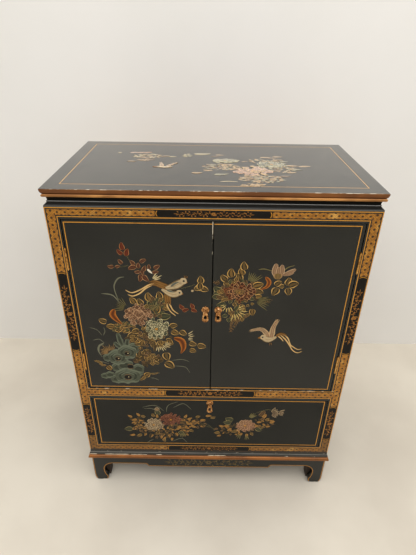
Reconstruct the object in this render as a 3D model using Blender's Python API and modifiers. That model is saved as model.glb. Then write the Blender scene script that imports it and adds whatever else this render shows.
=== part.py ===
"""A black lacquered cabinet: two doors over one wide drawer, on scrolled bracket feet.

Metres, +Z up, front towards -Y. The origin is on the floor, under the centre of the whole cabinet.
"""

import math

import bmesh
import bpy
from mathutils import Matrix, Vector

# Driving dimensions of the case
CASE_WIDTH = 0.762
CASE_DEPTH = 0.431
CASE_HEIGHT = 0.834
SIDE_THICKNESS = 0.016
BACK_THICKNESS = 0.006
BACK_REBATE = 0.008
BOARD_THICKNESS = 0.016
FIT = 0.0003

# Front frame and its openings
STILE_WIDTH = 0.032
TOP_RAIL_HEIGHT = 0.029
MIDDLE_RAIL_HEIGHT = 0.0395
BOTTOM_RAIL_HEIGHT = 0.037
DRAWER_OPENING_HEIGHT = 0.2035
REVEAL = 0.0012

# Top board, and the neck moulding under it
TOP_THICKNESS = 0.0204
TOP_OVERHANG = 0.0027
TOP_BACK_OVERHANG = 0.004
TOP_EDGE_ROUND = 0.0014
TOP_BEAD_RADIUS = 0.0037
TOP_BEAD_REACH = 0.0009
TOP_QUIRK = 0.0027
NECK_DEPTH = 0.0072
NECK_FILLET = 0.002
NECK_OGEE_HEIGHT = 0.0085
NECK_BEAD_RADIUS = 0.0011
NECK_COVE = 0.002
NECK_COVE_HEIGHT = 0.0092
STRIP_WIDTH = 0.034

# Base moulding, apron and feet
BASE_OVERHANG = 0.008
TORUS_RADIUS = 0.0075
BASE_FILLET = 0.003
BASE_FILLET_HEIGHT = 0.0086
BASE_SLOPE_HEIGHT = 0.0048
BASE_HEIGHT = 0.116
APRON_THICKNESS = 0.018
APRON_EDGE_HEIGHT = 0.084
APRON_DROP = 0.012
APRON_STEP_RUN = 0.010
FRONT_APRON_RUN = 0.108
SIDE_APRON_RUN = 0.0965
FOOT_WIDTH = 0.045
BACK_FOOT_WIDTH = 0.037
FOOT_TOE_RUN = 0.011
FOOT_TOE_RISE = 0.025
FOOT_TIP_RUN = 0.010
FOOT_TIP_RISE = 0.016
SCROLL_BACK = 0.0355
SCROLL_RISE = 0.0545
SCROLL_WIDTH = 0.0305
SCROLL_TOE_RUN = 0.012
SCROLL_FALL = 0.036
SCROLL_END_ANGLE = 250
CORNER_BLOCK = 0.030
CORNER_BLOCK_FLOOR_GAP = 0.004

# Doors
DOOR_THICKNESS = 0.020
DOOR_EDGE_ROUND = 0.0015
HINGE_GAP = 0.0016

# Butt hinges
HINGE_LENGTH = 0.057
HINGE_MARGIN = 0.102
HINGE_KNUCKLES = 5
KNUCKLE_RADIUS = 0.0023
KNUCKLE_SIDES = 12
LEAF_THICKNESS = 0.0012
LEAF_WIDTH = 0.015
PIN_RADIUS = 0.001
PIN_HEAD_RADIUS = 0.0017
PIN_HEAD_HEIGHT = 0.0012

# Drop pulls, one on each door and one on the drawer
PULL_FROM_MEETING_EDGE = 0.0156
PULL_RISE_IN_DOOR = 0.281
PULL_BELOW_DRAWER_TOP = 0.0125
ROSETTE_RADIUS = 0.0104
ROSETTE_LOBES = 8
ROSETTE_LOBE_DEPTH = 0.0006
ROSETTE_THICKNESS = 0.0016
ROSETTE_DOME_RADIUS = 0.0062
ROSETTE_DOME_HEIGHT = 0.0046
EYE_WIRE_RADIUS = 0.0012
EYE_PLAY = 0.0005
DROP_THICKNESS = 0.0024
DROP_LENGTH = 0.034
DROP_SHOULDER_RADIUS = 0.0055
DROP_FOOT_RADIUS = 0.0083
DROP_RIM = 0.0026
DROP_WINDOW_RISE = 0.006
DROP_WINDOW_HALF_WIDTH = 0.0037
DROP_WINDOW_HALF_HEIGHT = 0.0065

# Catch that holds the doors shut
CATCH_WIDTH = 0.050
CATCH_DEPTH = 0.014
CATCH_OVER_RAIL = 0.018
CATCH_BELOW_RAIL = 0.022
CATCH_PLATE_WIDTH = 0.016
CATCH_PLATE_HEIGHT = 0.014
CATCH_PLATE_THICKNESS = 0.0014
CATCH_PLATE_FROM_EDGE = 0.004

# Shelf and its cleats
SHELF_RISE = 0.262
SHELF_SETBACK = 0.055
CLEAT_WIDTH = 0.014
CLEAT_HEIGHT = 0.018

# Drawer and its runners
DRAWER_FRONT_THICKNESS = 0.020
DRAWER_SIDE_CLEARANCE = 0.004
DRAWER_SIDE_THICKNESS = 0.012
DRAWER_SIDE_DROP = 0.051
DRAWER_BACK_SPACE = 0.043
DRAWER_BOTTOM_THICKNESS = 0.005
DRAWER_BOTTOM_RISE = 0.010
DRAWER_GROOVE = 0.006
RUNNER_THICKNESS = 0.014
RUNNER_GUIDE_HEIGHT = 0.020
RUNNER_SIDE_PLAY = 0.001

# Levels and planes that follow from the sizes above
HALF_WIDTH = CASE_WIDTH / 2
BASE_MOULDING_HEIGHT = 2 * TORUS_RADIUS + 2 * FIT + BASE_FILLET_HEIGHT + BASE_SLOPE_HEIGHT
NECK_COVE_Z = NECK_FILLET + NECK_OGEE_HEIGHT + 2 * NECK_BEAD_RADIUS + FIT
NECK_HEIGHT = NECK_COVE_Z + NECK_COVE_HEIGHT
CASE_Z = BASE_HEIGHT + BASE_MOULDING_HEIGHT
NECK_Z = CASE_Z + CASE_HEIGHT
TOP_Z = NECK_Z + NECK_HEIGHT
DRAWER_Z0 = CASE_Z + BOTTOM_RAIL_HEIGHT
DRAWER_Z1 = DRAWER_Z0 + DRAWER_OPENING_HEIGHT
DOOR_Z0 = DRAWER_Z1 + MIDDLE_RAIL_HEIGHT
DOOR_Z1 = NECK_Z - TOP_RAIL_HEIGHT
SCROLL_CENTRE = SCROLL_BACK + SCROLL_WIDTH
OPENING_HALF = HALF_WIDTH - STILE_WIDTH
INNER_HALF = HALF_WIDTH - SIDE_THICKNESS
# A pull's drop hangs by its top rim in a round eye, which is sunk half way into the boss behind it.
EYE_RADIUS = math.hypot(DROP_RIM, DROP_THICKNESS) / 2 + EYE_WIRE_RADIUS + EYE_PLAY
DROP_EYE_HOLE_RADIUS = (EYE_RADIUS + EYE_WIRE_RADIUS + EYE_PLAY - DROP_RIM / 2) / 2
PULL_REACH = FIT + ROSETTE_DOME_HEIGHT + EYE_RADIUS
PULL_PROJECTION = PULL_REACH + EYE_RADIUS + EYE_WIRE_RADIUS
OVERALL_DEPTH = PULL_PROJECTION + CASE_DEPTH + TOP_BACK_OVERHANG
FRONT_Y = PULL_PROJECTION - OVERALL_DEPTH / 2
BACK_Y = FRONT_Y + CASE_DEPTH
# The frame is as thick as a door with its catch plate, so the catch sits flat on the rail's back.
FRAME_THICKNESS = DOOR_THICKNESS + CATCH_PLATE_THICKNESS + 2 * FIT
BEHIND_FRAME_Y = FRONT_Y + FRAME_THICKNESS + FIT
BACK_PANEL_Y = BACK_Y - BACK_THICKNESS
# Hinge axes stand just proud of the front, half way across the gap at the door's edge.
AXIS_X = OPENING_HALF - HINGE_GAP / 2
AXIS_Y = FRONT_Y - KNUCKLE_RADIUS - FIT
# A door's inner corner swings wide of its edge, so the gap where the doors meet leaves room for both.
DOOR_REACH = AXIS_X
SWING_GROWTH = math.hypot(DOOR_REACH, FRONT_Y + DOOR_THICKNESS - AXIS_Y) - DOOR_REACH
MEETING_HALF_GAP = SWING_GROWTH + FIT / 2
LEFT, RIGHT = -1, 1


# Scene, collections and materials


def clear_scene():
    for obj in list(bpy.data.objects):
        bpy.data.objects.remove(obj, do_unlink=True)


def new_collection(name):
    collection = bpy.data.collections.new(name)
    bpy.context.scene.collection.children.link(collection)
    return collection


def make_material(name, colour, roughness, metallic=0.0):
    material = bpy.data.materials.new(name)
    material.use_nodes = True
    shader = material.node_tree.nodes["Principled BSDF"]
    shader.inputs["Base Color"].default_value = (*colour, 1.0)
    shader.inputs["Roughness"].default_value = roughness
    shader.inputs["Metallic"].default_value = metallic
    return material


clear_scene()
PARTS = new_collection("lacquer_cabinet")
CUTTERS = new_collection("cutters")
BLACK_LACQUER = make_material("black_lacquer", (0.010, 0.010, 0.009), 0.18)
BRONZE_PAINT = make_material("bronze_paint", (0.210, 0.085, 0.026), 0.35)
INNER_PAINT = make_material("inner_paint", (0.020, 0.017, 0.015), 0.5)
PLAIN_WOOD = make_material("plain_wood", (0.330, 0.210, 0.110), 0.6)
BRASS = make_material("brass", (0.620, 0.370, 0.130), 0.3, 1.0)
STEEL = make_material("steel", (0.500, 0.500, 0.500), 0.35, 1.0)


# Shared modelling helpers


def add_object(name, data, material, collection=PARTS):
    obj = bpy.data.objects.new(name, data)
    collection.objects.link(obj)
    if not data.materials:
        data.materials.append(material)
    return obj


def finish_mesh(name, bm, material, collection=PARTS, smooth_angle=None):
    bmesh.ops.recalc_face_normals(bm, faces=bm.faces)
    mesh = bpy.data.meshes.new(name)
    bm.to_mesh(mesh)
    bm.free()
    if smooth_angle:
        mesh.shade_smooth()
        mesh.set_sharp_from_angle(angle=math.radians(smooth_angle))
    return add_object(name, mesh, material, collection)


def box(name, low, high, material, round_edges=0.0, collection=PARTS):
    """A board between two corners, with its origin at its middle."""
    low, high = Vector(low), Vector(high)
    bm = bmesh.new()
    bmesh.ops.create_cube(bm, size=1.0)
    bmesh.ops.scale(bm, vec=high - low, verts=bm.verts)
    obj = finish_mesh(name, bm, material, collection)
    obj.location = (low + high) / 2
    if round_edges:
        bevel = obj.modifiers.new("rounded_edges", "BEVEL")
        bevel.width = round_edges
        bevel.segments = 2
    return obj


def prism(name, start, finish, material):
    """A solid between two like outlines, given as points in the same order."""
    bm = bmesh.new()
    face = bm.faces.new([bm.verts.new(point) for point in start])
    targets = {tuple(vert.co): point for vert, point in zip(face.verts, finish)}
    for item in bmesh.ops.extrude_face_region(bm, geom=[face])["geom"]:
        if isinstance(item, bmesh.types.BMVert):
            item.co = targets[tuple(item.co)]
    return finish_mesh(name, bm, material)


def cylinder(name, radius, low_z, high_z, sides, material, collection=PARTS):
    """A round bar along Z through the object's origin."""
    bm = bmesh.new()
    bmesh.ops.create_cone(
        bm, cap_ends=True, segments=sides, radius1=radius, radius2=radius, depth=high_z - low_z
    )
    bmesh.ops.translate(bm, vec=(0, 0, (low_z + high_z) / 2), verts=bm.verts)
    return finish_mesh(name, bm, material, collection, smooth_angle=40)


def make_cutter(obj):
    obj.hide_render = True
    obj.display_type = "WIRE"
    return obj


def boolean(target, operand, operation):
    modifier = target.modifiers.new(operation.lower(), "BOOLEAN")
    modifier.operation = operation
    modifier.object = operand
    make_cutter(operand)


def bake(obj, at_origin=False, smooth_angle=40):
    """Turns an object's modifiers, or its curve, into one plain mesh, and removes what they used."""
    operands = [m.object for m in obj.modifiers if m.type == "BOOLEAN"]
    bpy.context.view_layer.update()
    evaluated = obj.evaluated_get(bpy.context.evaluated_depsgraph_get())
    mesh = bpy.data.meshes.new_from_object(evaluated)
    bm = bmesh.new()
    bm.from_mesh(mesh)
    bmesh.ops.remove_doubles(bm, verts=bm.verts, dist=1e-6)
    bm.to_mesh(mesh)
    bm.free()
    mesh.shade_smooth()
    mesh.set_sharp_from_angle(angle=math.radians(smooth_angle))
    name, matrix, collection = obj.name, obj.matrix_world.copy(), obj.users_collection[0]
    if at_origin:
        mesh.transform(matrix)
        matrix = Matrix.Identity(4)
    bpy.data.objects.remove(obj, do_unlink=True)
    for operand in operands:
        bpy.data.objects.remove(operand, do_unlink=True)
    mesh.name = name
    baked = bpy.data.objects.new(name, mesh)
    baked.matrix_world = matrix
    collection.objects.link(baked)
    return baked


def outline_curve(name, outlines, thickness, material, edge_round=0.0):
    """A flat plate from closed outlines, the first its edge and the others holes, centred on its plane."""
    curve = bpy.data.curves.new(name, "CURVE")
    curve.dimensions = "2D"
    curve.fill_mode = "BOTH"
    curve.extrude = thickness / 2 - edge_round
    curve.bevel_depth = edge_round
    curve.bevel_resolution = 0
    curve.offset = -edge_round
    for points in outlines:
        spline = curve.splines.new("POLY")
        spline.points.add(len(points) - 1)
        for point, (x, y) in zip(spline.points, points):
            point.co = (x, y, 0, 1)
        spline.use_cyclic_u = True
    return add_object(name, curve, material)


def arc(centre, radii, first, last, steps):
    """Points along an ellipse's arc, angles in degrees, both ends included."""
    angles = [math.radians(first + (last - first) * i / steps) for i in range(steps + 1)]
    return [(centre[0] + radii[0] * math.cos(a), centre[1] + radii[1] * math.sin(a)) for a in angles]


def hold(children, parent):
    """Parents pieces to an empty that stands on their joint, leaving them in place."""
    bpy.context.view_layer.update()
    for child in children:
        child.parent = parent
        child.matrix_parent_inverse = parent.matrix_world.inverted()


def joint_empty(name, place):
    empty = bpy.data.objects.new(name, None)
    empty.empty_display_size = 0.03
    empty.location = place
    PARTS.objects.link(empty)
    return empty


def side_name(side):
    return "left" if side == LEFT else "right"


# Top board: a slab whose edge rounds in to a bead, on the front and both ends


def top_profile():
    """(distance out from the case, height) from the underside up to the top."""
    bead_centre = (TOP_BEAD_REACH - TOP_BEAD_RADIUS, TOP_BEAD_RADIUS)
    bead = arc(bead_centre, (TOP_BEAD_RADIUS, TOP_BEAD_RADIUS), -90, 90, 6)
    quirk = (TOP_BEAD_REACH - TOP_QUIRK, 2 * TOP_BEAD_RADIUS + TOP_EDGE_ROUND / 4)
    brow_z = TOP_THICKNESS - TOP_EDGE_ROUND
    # The band between the quirk and the brow swells like an ovolo, from 60 degrees below its widest point.
    swell = (2 * (TOP_OVERHANG - quirk[0]), (brow_z - quirk[1]) / math.sin(math.radians(60)))
    ovolo = arc((TOP_OVERHANG - swell[0], brow_z), swell, -60, 0, 6)
    crown_centre = (TOP_OVERHANG - TOP_EDGE_ROUND, brow_z)
    crown = arc(crown_centre, (TOP_EDGE_ROUND, TOP_EDGE_ROUND), 0, 90, 3)
    return [*bead, *ovolo, *crown[1:]]


def build_top_board():
    back = BACK_Y + TOP_BACK_OVERHANG
    bm = bmesh.new()
    rings = []
    for out, height in top_profile():
        wide, z = HALF_WIDTH + out, TOP_Z + FIT + height
        corners = [(-wide, FRONT_Y - out, z), (wide, FRONT_Y - out, z), (wide, back, z), (-wide, back, z)]
        rings.append([bm.verts.new(corner) for corner in corners])
    for lower, upper in zip(rings, rings[1:]):
        for i in range(4):
            bm.faces.new((lower[i - 1], lower[i], upper[i], upper[i - 1]))
    bm.faces.new(rings[0])
    bm.faces.new(rings[-1])
    finish_mesh("top_board", bm, BLACK_LACQUER)


# Mouldings: strips of one profile, mitred at the front corners and square at the back


def build_moulding(name, profile, z, material):
    """Front, left and right strips; profile holds (distance out from the case, height) points."""
    def front(sign):
        return [(sign * (HALF_WIDTH + out - FIT), FRONT_Y - out, z + h) for out, h in profile]

    def side(sign, at_back):
        return [
            (sign * (HALF_WIDTH + out), BACK_Y if at_back else FRONT_Y - out + FIT, z + h)
            for out, h in profile
        ]

    prism(f"{name}_front", front(LEFT), front(RIGHT), material)
    for sign in (LEFT, RIGHT):
        prism(f"{name}_{side_name(sign)}", side(sign, False), side(sign, True), material)


def build_back_strip(name, z0, z1):
    """The plain strip that closes a moulding's frame along the back."""
    half = HALF_WIDTH - STRIP_WIDTH - FIT
    box(name, (-half, BACK_Y - STRIP_WIDTH, z0), (half, BACK_Y, z1), PLAIN_WOOD)


def neck_profile():
    """An ogee, a small bead and a cove, from the case's top edge up to the top board."""
    ogee_top = NECK_FILLET + NECK_OGEE_HEIGHT
    ogee = [
        (-NECK_DEPTH * (1 - math.cos(math.pi * t)) / 2, NECK_FILLET + NECK_OGEE_HEIGHT * t)
        for t in (0, 0.2, 0.4, 0.6, 0.8, 1)
    ]
    bead = arc((-NECK_DEPTH, ogee_top + NECK_BEAD_RADIUS), (NECK_BEAD_RADIUS, NECK_BEAD_RADIUS), -60, 90, 4)
    cove = arc(
        (-NECK_DEPTH + NECK_COVE, NECK_COVE_Z), (NECK_COVE + NECK_BEAD_RADIUS, NECK_COVE_HEIGHT), 180, 95, 5
    )
    return [(-STRIP_WIDTH, FIT), (0, FIT), *ogee, *bead, *cove, (-STRIP_WIDTH, NECK_HEIGHT)]


def base_profile():
    """A bold half-round under an upright fillet and a slope, from the apron up to the case."""
    torus = arc((BASE_OVERHANG - TORUS_RADIUS, TORUS_RADIUS + FIT), (TORUS_RADIUS, TORUS_RADIUS), -90, 90, 8)
    fillet_z = 2 * TORUS_RADIUS + 2 * FIT
    fillet = [(BASE_FILLET, fillet_z), (BASE_FILLET, fillet_z + BASE_FILLET_HEIGHT)]
    slope_top = [(0, BASE_MOULDING_HEIGHT), (-STRIP_WIDTH, BASE_MOULDING_HEIGHT)]
    return [(-STRIP_WIDTH, FIT), *torus, *fillet, *slope_top]


# Aprons with their bracket feet


def foot_edge(cut, rounded):
    """(distance from the case's corner, height) from the board's top, round a foot, to the apron's edge."""
    if rounded:
        toe = arc((FOOT_TOE_RUN, FOOT_TOE_RISE), (FOOT_TOE_RUN, FOOT_TOE_RISE), 180, 270, 6)
    else:
        toe = [(cut, 0)]
    tip_centre = (FOOT_WIDTH - FOOT_TIP_RUN, FOOT_TIP_RISE)
    tip = arc(tip_centre, (FOOT_TIP_RUN, FOOT_TIP_RISE), 270, 360, 5)
    # The scroll is a tall shallow hollow above the foot's tip, and a quarter round up to the apron's edge.
    hollow_centre = (SCROLL_BACK + SCROLL_TOE_RUN, SCROLL_RISE)
    hollow = arc(hollow_centre, (SCROLL_TOE_RUN, SCROLL_FALL), SCROLL_END_ANGLE, 180, 6)
    curl_radii = (SCROLL_WIDTH, APRON_EDGE_HEIGHT - SCROLL_RISE)
    curl = arc((SCROLL_CENTRE, SCROLL_RISE), curl_radii, 180, 90, 8)
    return [(cut, BASE_HEIGHT), *toe, *tip, *hollow, *curl[1:]]


def apron_step(run):
    """The short curve by which the middle of an apron drops below its ends."""
    return [
        (
            SCROLL_CENTRE + run + APRON_STEP_RUN * t,
            APRON_EDGE_HEIGHT - APRON_DROP * (1 - math.cos(math.pi * t)) / 2,
        )
        for t in (0, 0.25, 0.5, 0.75, 1)
    ]


def apron_outline(length, run, near, far):
    """A board's outline; near and far are its two ends as (cut, rounded) pairs."""
    step = apron_step(run)
    left = foot_edge(*near) + step
    right = [(length - u, z) for u, z in foot_edge(*far) + step]
    return left + right[::-1]


def build_aprons():
    front = apron_outline(CASE_WIDTH, FRONT_APRON_RUN, (0, True), (0, True))
    board = outline_curve("front_apron", [front], APRON_THICKNESS, BLACK_LACQUER)
    board.location = (-HALF_WIDTH, FRONT_Y + APRON_THICKNESS / 2, 0)
    board.rotation_euler = (math.pi / 2, 0, 0)
    side = apron_outline(CASE_DEPTH, SIDE_APRON_RUN, (APRON_THICKNESS + FIT, False), (0, False))
    for sign in (LEFT, RIGHT):
        board = outline_curve(f"{side_name(sign)}_apron", [side], APRON_THICKNESS, BLACK_LACQUER)
        board.location = (sign * (HALF_WIDTH - APRON_THICKNESS / 2), FRONT_Y, 0)
        board.rotation_euler = (math.pi / 2, 0, math.pi / 2)
    half = HALF_WIDTH - APRON_THICKNESS - FIT
    foot = BACK_FOOT_WIDTH
    back = [
        (-half, 0), (-half + foot, 0), (-half + foot, APRON_EDGE_HEIGHT),
        (half - foot, APRON_EDGE_HEIGHT), (half - foot, 0), (half, 0),
        (half, BASE_HEIGHT), (-half, BASE_HEIGHT),
    ]
    board = outline_curve("back_apron", [back], APRON_THICKNESS, PLAIN_WOOD)
    board.location = (0, BACK_Y - APRON_THICKNESS / 2, 0)
    board.rotation_euler = (math.pi / 2, 0, 0)


def build_corner_blocks():
    """Square glue blocks behind the feet, short of the floor."""
    inset = APRON_THICKNESS + FIT
    for sign in (LEFT, RIGHT):
        x0, x1 = sorted(sign * (HALF_WIDTH - inset - w) for w in (0, CORNER_BLOCK))
        for end, y0 in (("front", FRONT_Y + inset), ("back", BACK_Y - inset - CORNER_BLOCK)):
            box(
                f"{end}_{side_name(sign)}_foot_block",
                (x0, y0, CORNER_BLOCK_FLOOR_GAP), (x1, y0 + CORNER_BLOCK, BASE_HEIGHT), PLAIN_WOOD,
            )


# Case: front frame, sides, back and boards


def build_front_frame():
    z0, z1 = CASE_Z + FIT, NECK_Z
    for sign in (LEFT, RIGHT):
        x0, x1 = sorted((sign * OPENING_HALF, sign * HALF_WIDTH))
        stile = box(
            f"{side_name(sign)}_stile", (x0, FRONT_Y, z0), (x1, FRONT_Y + FRAME_THICKNESS, z1), BLACK_LACQUER
        )
        for z in hinge_heights():
            boolean(stile, hinge_mortise(sign * OPENING_HALF, sign, z), "DIFFERENCE")
        bake(stile)
    half = OPENING_HALF - FIT
    rails = {"bottom_rail": (z0, DRAWER_Z0), "middle_rail": (DRAWER_Z1, DOOR_Z0), "top_rail": (DOOR_Z1, z1)}
    for name, (low, high) in rails.items():
        box(name, (-half, FRONT_Y, low), (half, FRONT_Y + FRAME_THICKNESS, high), BLACK_LACQUER)


def build_sides_and_back():
    rebate_y = BACK_PANEL_Y - FIT
    for sign in (LEFT, RIGHT):
        outline = [
            (HALF_WIDTH, BEHIND_FRAME_Y), (INNER_HALF, BEHIND_FRAME_Y), (INNER_HALF, rebate_y),
            (INNER_HALF + BACK_REBATE, rebate_y), (INNER_HALF + BACK_REBATE, BACK_Y), (HALF_WIDTH, BACK_Y),
        ]
        low, high = ([(sign * x, y, z) for x, y in outline] for z in (CASE_Z + FIT, NECK_Z))
        prism(f"{side_name(sign)}_side", low, high, BLACK_LACQUER)
    half = INNER_HALF + BACK_REBATE - FIT
    box("back_panel", (-half, BACK_PANEL_Y, CASE_Z + FIT), (half, BACK_Y, NECK_Z), PLAIN_WOOD)


def build_boards():
    """The cupboard's floor, the bottom of the case, and the shelf on its two cleats."""
    half, back = INNER_HALF - FIT, BACK_PANEL_Y - FIT
    shelf_z = DOOR_Z0 + SHELF_RISE
    shelf_front = FRONT_Y + SHELF_SETBACK
    for name, y0, z0 in (
        ("bottom_board", BEHIND_FRAME_Y, CASE_Z + FIT),
        ("cupboard_floor", BEHIND_FRAME_Y, DOOR_Z0 - BOARD_THICKNESS),
        ("shelf", shelf_front, shelf_z),
    ):
        box(name, (-half, y0, z0), (half, back, z0 + BOARD_THICKNESS), INNER_PAINT)
    for sign in (LEFT, RIGHT):
        x0, x1 = sorted(sign * (half - w) for w in (0, CLEAT_WIDTH))
        z1 = shelf_z - FIT
        low, high = (x0, shelf_front, z1 - CLEAT_HEIGHT), (x1, back, z1)
        box(f"{side_name(sign)}_shelf_cleat", low, high, INNER_PAINT)


# Butt hinges, two to a door


def hinge_heights():
    return (DOOR_Z0 + HINGE_MARGIN, DOOR_Z1 - HINGE_MARGIN)


def hinge_mortise(edge_x, into_wood, z):
    """The cutter for the shallow recess that takes one leaf, in the edge at edge_x."""
    depth, margin = LEAF_THICKNESS + FIT, KNUCKLE_RADIUS
    x0, x1 = sorted((edge_x - into_wood * margin, edge_x + into_wood * depth))
    half = HINGE_LENGTH / 2 + FIT
    return box(
        "mortise_cutter", (x0, FRONT_Y - margin, z - half), (x1, FRONT_Y + LEAF_WIDTH + FIT, z + half),
        BLACK_LACQUER, collection=CUTTERS,
    )


def hinge_leaf(name, side, first_knuckle):
    """A leaf with every second knuckle, built round the pin's axis; side says which way it reaches."""
    x0, x1 = sorted(side * (HINGE_GAP / 2 + t) for t in (0, LEAF_THICKNESS))
    face = FRONT_Y - AXIS_Y
    half = HINGE_LENGTH / 2
    leaf = box(name, (x0, face, -half), (x1, face + LEAF_WIDTH, half), BRASS)
    pitch = HINGE_LENGTH / HINGE_KNUCKLES
    for index in range(first_knuckle, HINGE_KNUCKLES, 2):
        low = -half + index * pitch + FIT / 2
        high = low + pitch - FIT
        tongue = box("tongue", (x0, 0, low), (x1, face + LEAF_WIDTH / 2, high), BRASS, collection=CUTTERS)
        boolean(leaf, cylinder("knuckle", KNUCKLE_RADIUS, low, high, KNUCKLE_SIDES, BRASS, CUTTERS), "UNION")
        boolean(leaf, tongue, "UNION")
    bore = cylinder("bore", PIN_RADIUS + FIT, -HINGE_LENGTH, HINGE_LENGTH, KNUCKLE_SIDES, BRASS, CUTTERS)
    boolean(leaf, bore, "DIFFERENCE")
    return bake(leaf, at_origin=True)


def hinge_pin(name):
    """A pin with a low button head at both ends, as a turned profile."""
    half = HINGE_LENGTH / 2 + FIT
    profile = [
        (0, half + PIN_HEAD_HEIGHT), (PIN_HEAD_RADIUS * 0.7, half + PIN_HEAD_HEIGHT * 0.8),
        (PIN_HEAD_RADIUS, half), (PIN_RADIUS, half),
    ]
    profile += [(r, -z) for r, z in profile[::-1]]
    bm = bmesh.new()
    verts = [bm.verts.new((r, 0, z)) for r, z in profile]
    for first, second in zip(verts, verts[1:]):
        bm.edges.new((first, second))
    mesh = bpy.data.meshes.new(name)
    bm.to_mesh(mesh)
    bm.free()
    pin = add_object(name, mesh, BRASS)
    screw = pin.modifiers.new("turned", "SCREW")
    screw.steps = screw.render_steps = KNUCKLE_SIDES
    screw.use_merge_vertices = True
    screw.merge_threshold = 1e-5
    return bake(pin)


def build_hinges():
    """Returns each door's own leaves; the other leaves and the pins stay with the case."""
    frame_leaf = hinge_leaf("frame_leaf", LEFT, 0).data
    door_leaf = hinge_leaf("door_leaf", RIGHT, 1).data
    pin = hinge_pin("pin").data
    for obj in [o for o in PARTS.objects if o.name in ("frame_leaf", "door_leaf", "pin")]:
        bpy.data.objects.remove(obj, do_unlink=True)
    door_leaves = {LEFT: [], RIGHT: []}
    for sign in (LEFT, RIGHT):
        for height, z in zip(("lower", "upper"), hinge_heights()):
            label = f"{side_name(sign)}_{height}_hinge"
            for piece, mesh in (("frame_leaf", frame_leaf), ("door_leaf", door_leaf), ("pin", pin)):
                obj = add_object(f"{label}_{piece}", mesh, BRASS)
                obj.location = (sign * AXIS_X, AXIS_Y, z)
                # Half a turn about Y makes the right-hand hinge, as the knuckles are even about the middle.
                obj.rotation_euler = (0, 0 if sign == LEFT else math.pi, 0)
                if piece == "door_leaf":
                    door_leaves[sign].append(obj)
    return door_leaves


# Drop pulls


def pull_plate(name, place):
    """A lobed rosette with a domed boss and the eye that the drop hangs from."""
    count = 6 * ROSETTE_LOBES
    outline = []
    for i in range(count):
        angle = 2 * math.pi * i / count
        radius = ROSETTE_RADIUS - ROSETTE_LOBE_DEPTH * (1 - math.cos(ROSETTE_LOBES * angle)) / 2
        outline.append((radius * math.cos(angle), radius * math.sin(angle)))
    plate = outline_curve(name, [outline], ROSETTE_THICKNESS, BRASS, edge_round=ROSETTE_THICKNESS / 4)
    plate.rotation_euler = (math.pi / 2, 0, 0)
    plate.location = Vector(place) + Vector((0, -FIT - ROSETTE_THICKNESS / 2, 0))
    plate = bake(plate)
    boss_bm = bmesh.new()
    bmesh.ops.create_uvsphere(boss_bm, u_segments=16, v_segments=8, radius=1.0)
    boss_depth = ROSETTE_DOME_HEIGHT - ROSETTE_THICKNESS / 2
    bmesh.ops.scale(boss_bm, vec=(ROSETTE_DOME_RADIUS, boss_depth, ROSETTE_DOME_RADIUS), verts=boss_bm.verts)
    cut = bmesh.ops.bisect_plane(
        boss_bm, geom=boss_bm.verts[:] + boss_bm.edges[:] + boss_bm.faces[:],
        plane_co=(0, 0, 0), plane_no=(0, 1, 0), clear_outer=True,
    )["geom_cut"]
    bmesh.ops.edgeloop_fill(boss_bm, edges=[e for e in cut if isinstance(e, bmesh.types.BMEdge)])
    boss = finish_mesh("boss", boss_bm, BRASS, CUTTERS)
    boss.location = plate.location
    bpy.ops.mesh.primitive_torus_add(
        major_radius=EYE_RADIUS, minor_radius=EYE_WIRE_RADIUS, major_segments=16, minor_segments=8,
        rotation=(0, math.pi / 2, 0), location=Vector(place) + Vector((0, -PULL_REACH, 0)),
    )
    eye = bpy.context.active_object
    for collection in eye.users_collection:
        collection.objects.unlink(eye)
    CUTTERS.objects.link(eye)
    boolean(plate, boss, "UNION")
    boolean(plate, eye, "UNION")
    return bake(plate)


def drop_outline():
    """A pear: two circles and the straight flanks that touch both."""
    shoulder_z = DROP_RIM / 2 - DROP_SHOULDER_RADIUS
    foot_z = DROP_RIM / 2 - DROP_LENGTH + DROP_FOOT_RADIUS
    lean = math.degrees(math.asin((DROP_FOOT_RADIUS - DROP_SHOULDER_RADIUS) / (shoulder_z - foot_z)))
    shoulder = arc((0, shoulder_z), (DROP_SHOULDER_RADIUS,) * 2, lean, 180 - lean, 10)
    foot = arc((0, foot_z), (DROP_FOOT_RADIUS,) * 2, 180 - lean, 360 + lean, 14)
    return shoulder + foot, foot_z


def pull_drop(name, place):
    """The pear-shaped drop, with its origin on the axis that it swings about."""
    edge, foot_z = drop_outline()
    hole_z = -DROP_RIM / 2 - DROP_EYE_HOLE_RADIUS
    eye_hole = arc((0, hole_z), (DROP_EYE_HOLE_RADIUS,) * 2, 0, 330, 11)
    window_radii = (DROP_WINDOW_HALF_WIDTH, DROP_WINDOW_HALF_HEIGHT)
    window = arc((0, foot_z + DROP_WINDOW_RISE), window_radii, 0, 337.5, 15)
    drop = outline_curve(name, [edge, eye_hole, window], DROP_THICKNESS, BRASS, edge_round=DROP_THICKNESS / 5)
    drop.rotation_euler = (math.pi / 2, 0, 0)
    drop.location = Vector(place) + Vector((0, -PULL_REACH, 0))
    return bake(drop)


# Doors


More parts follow.
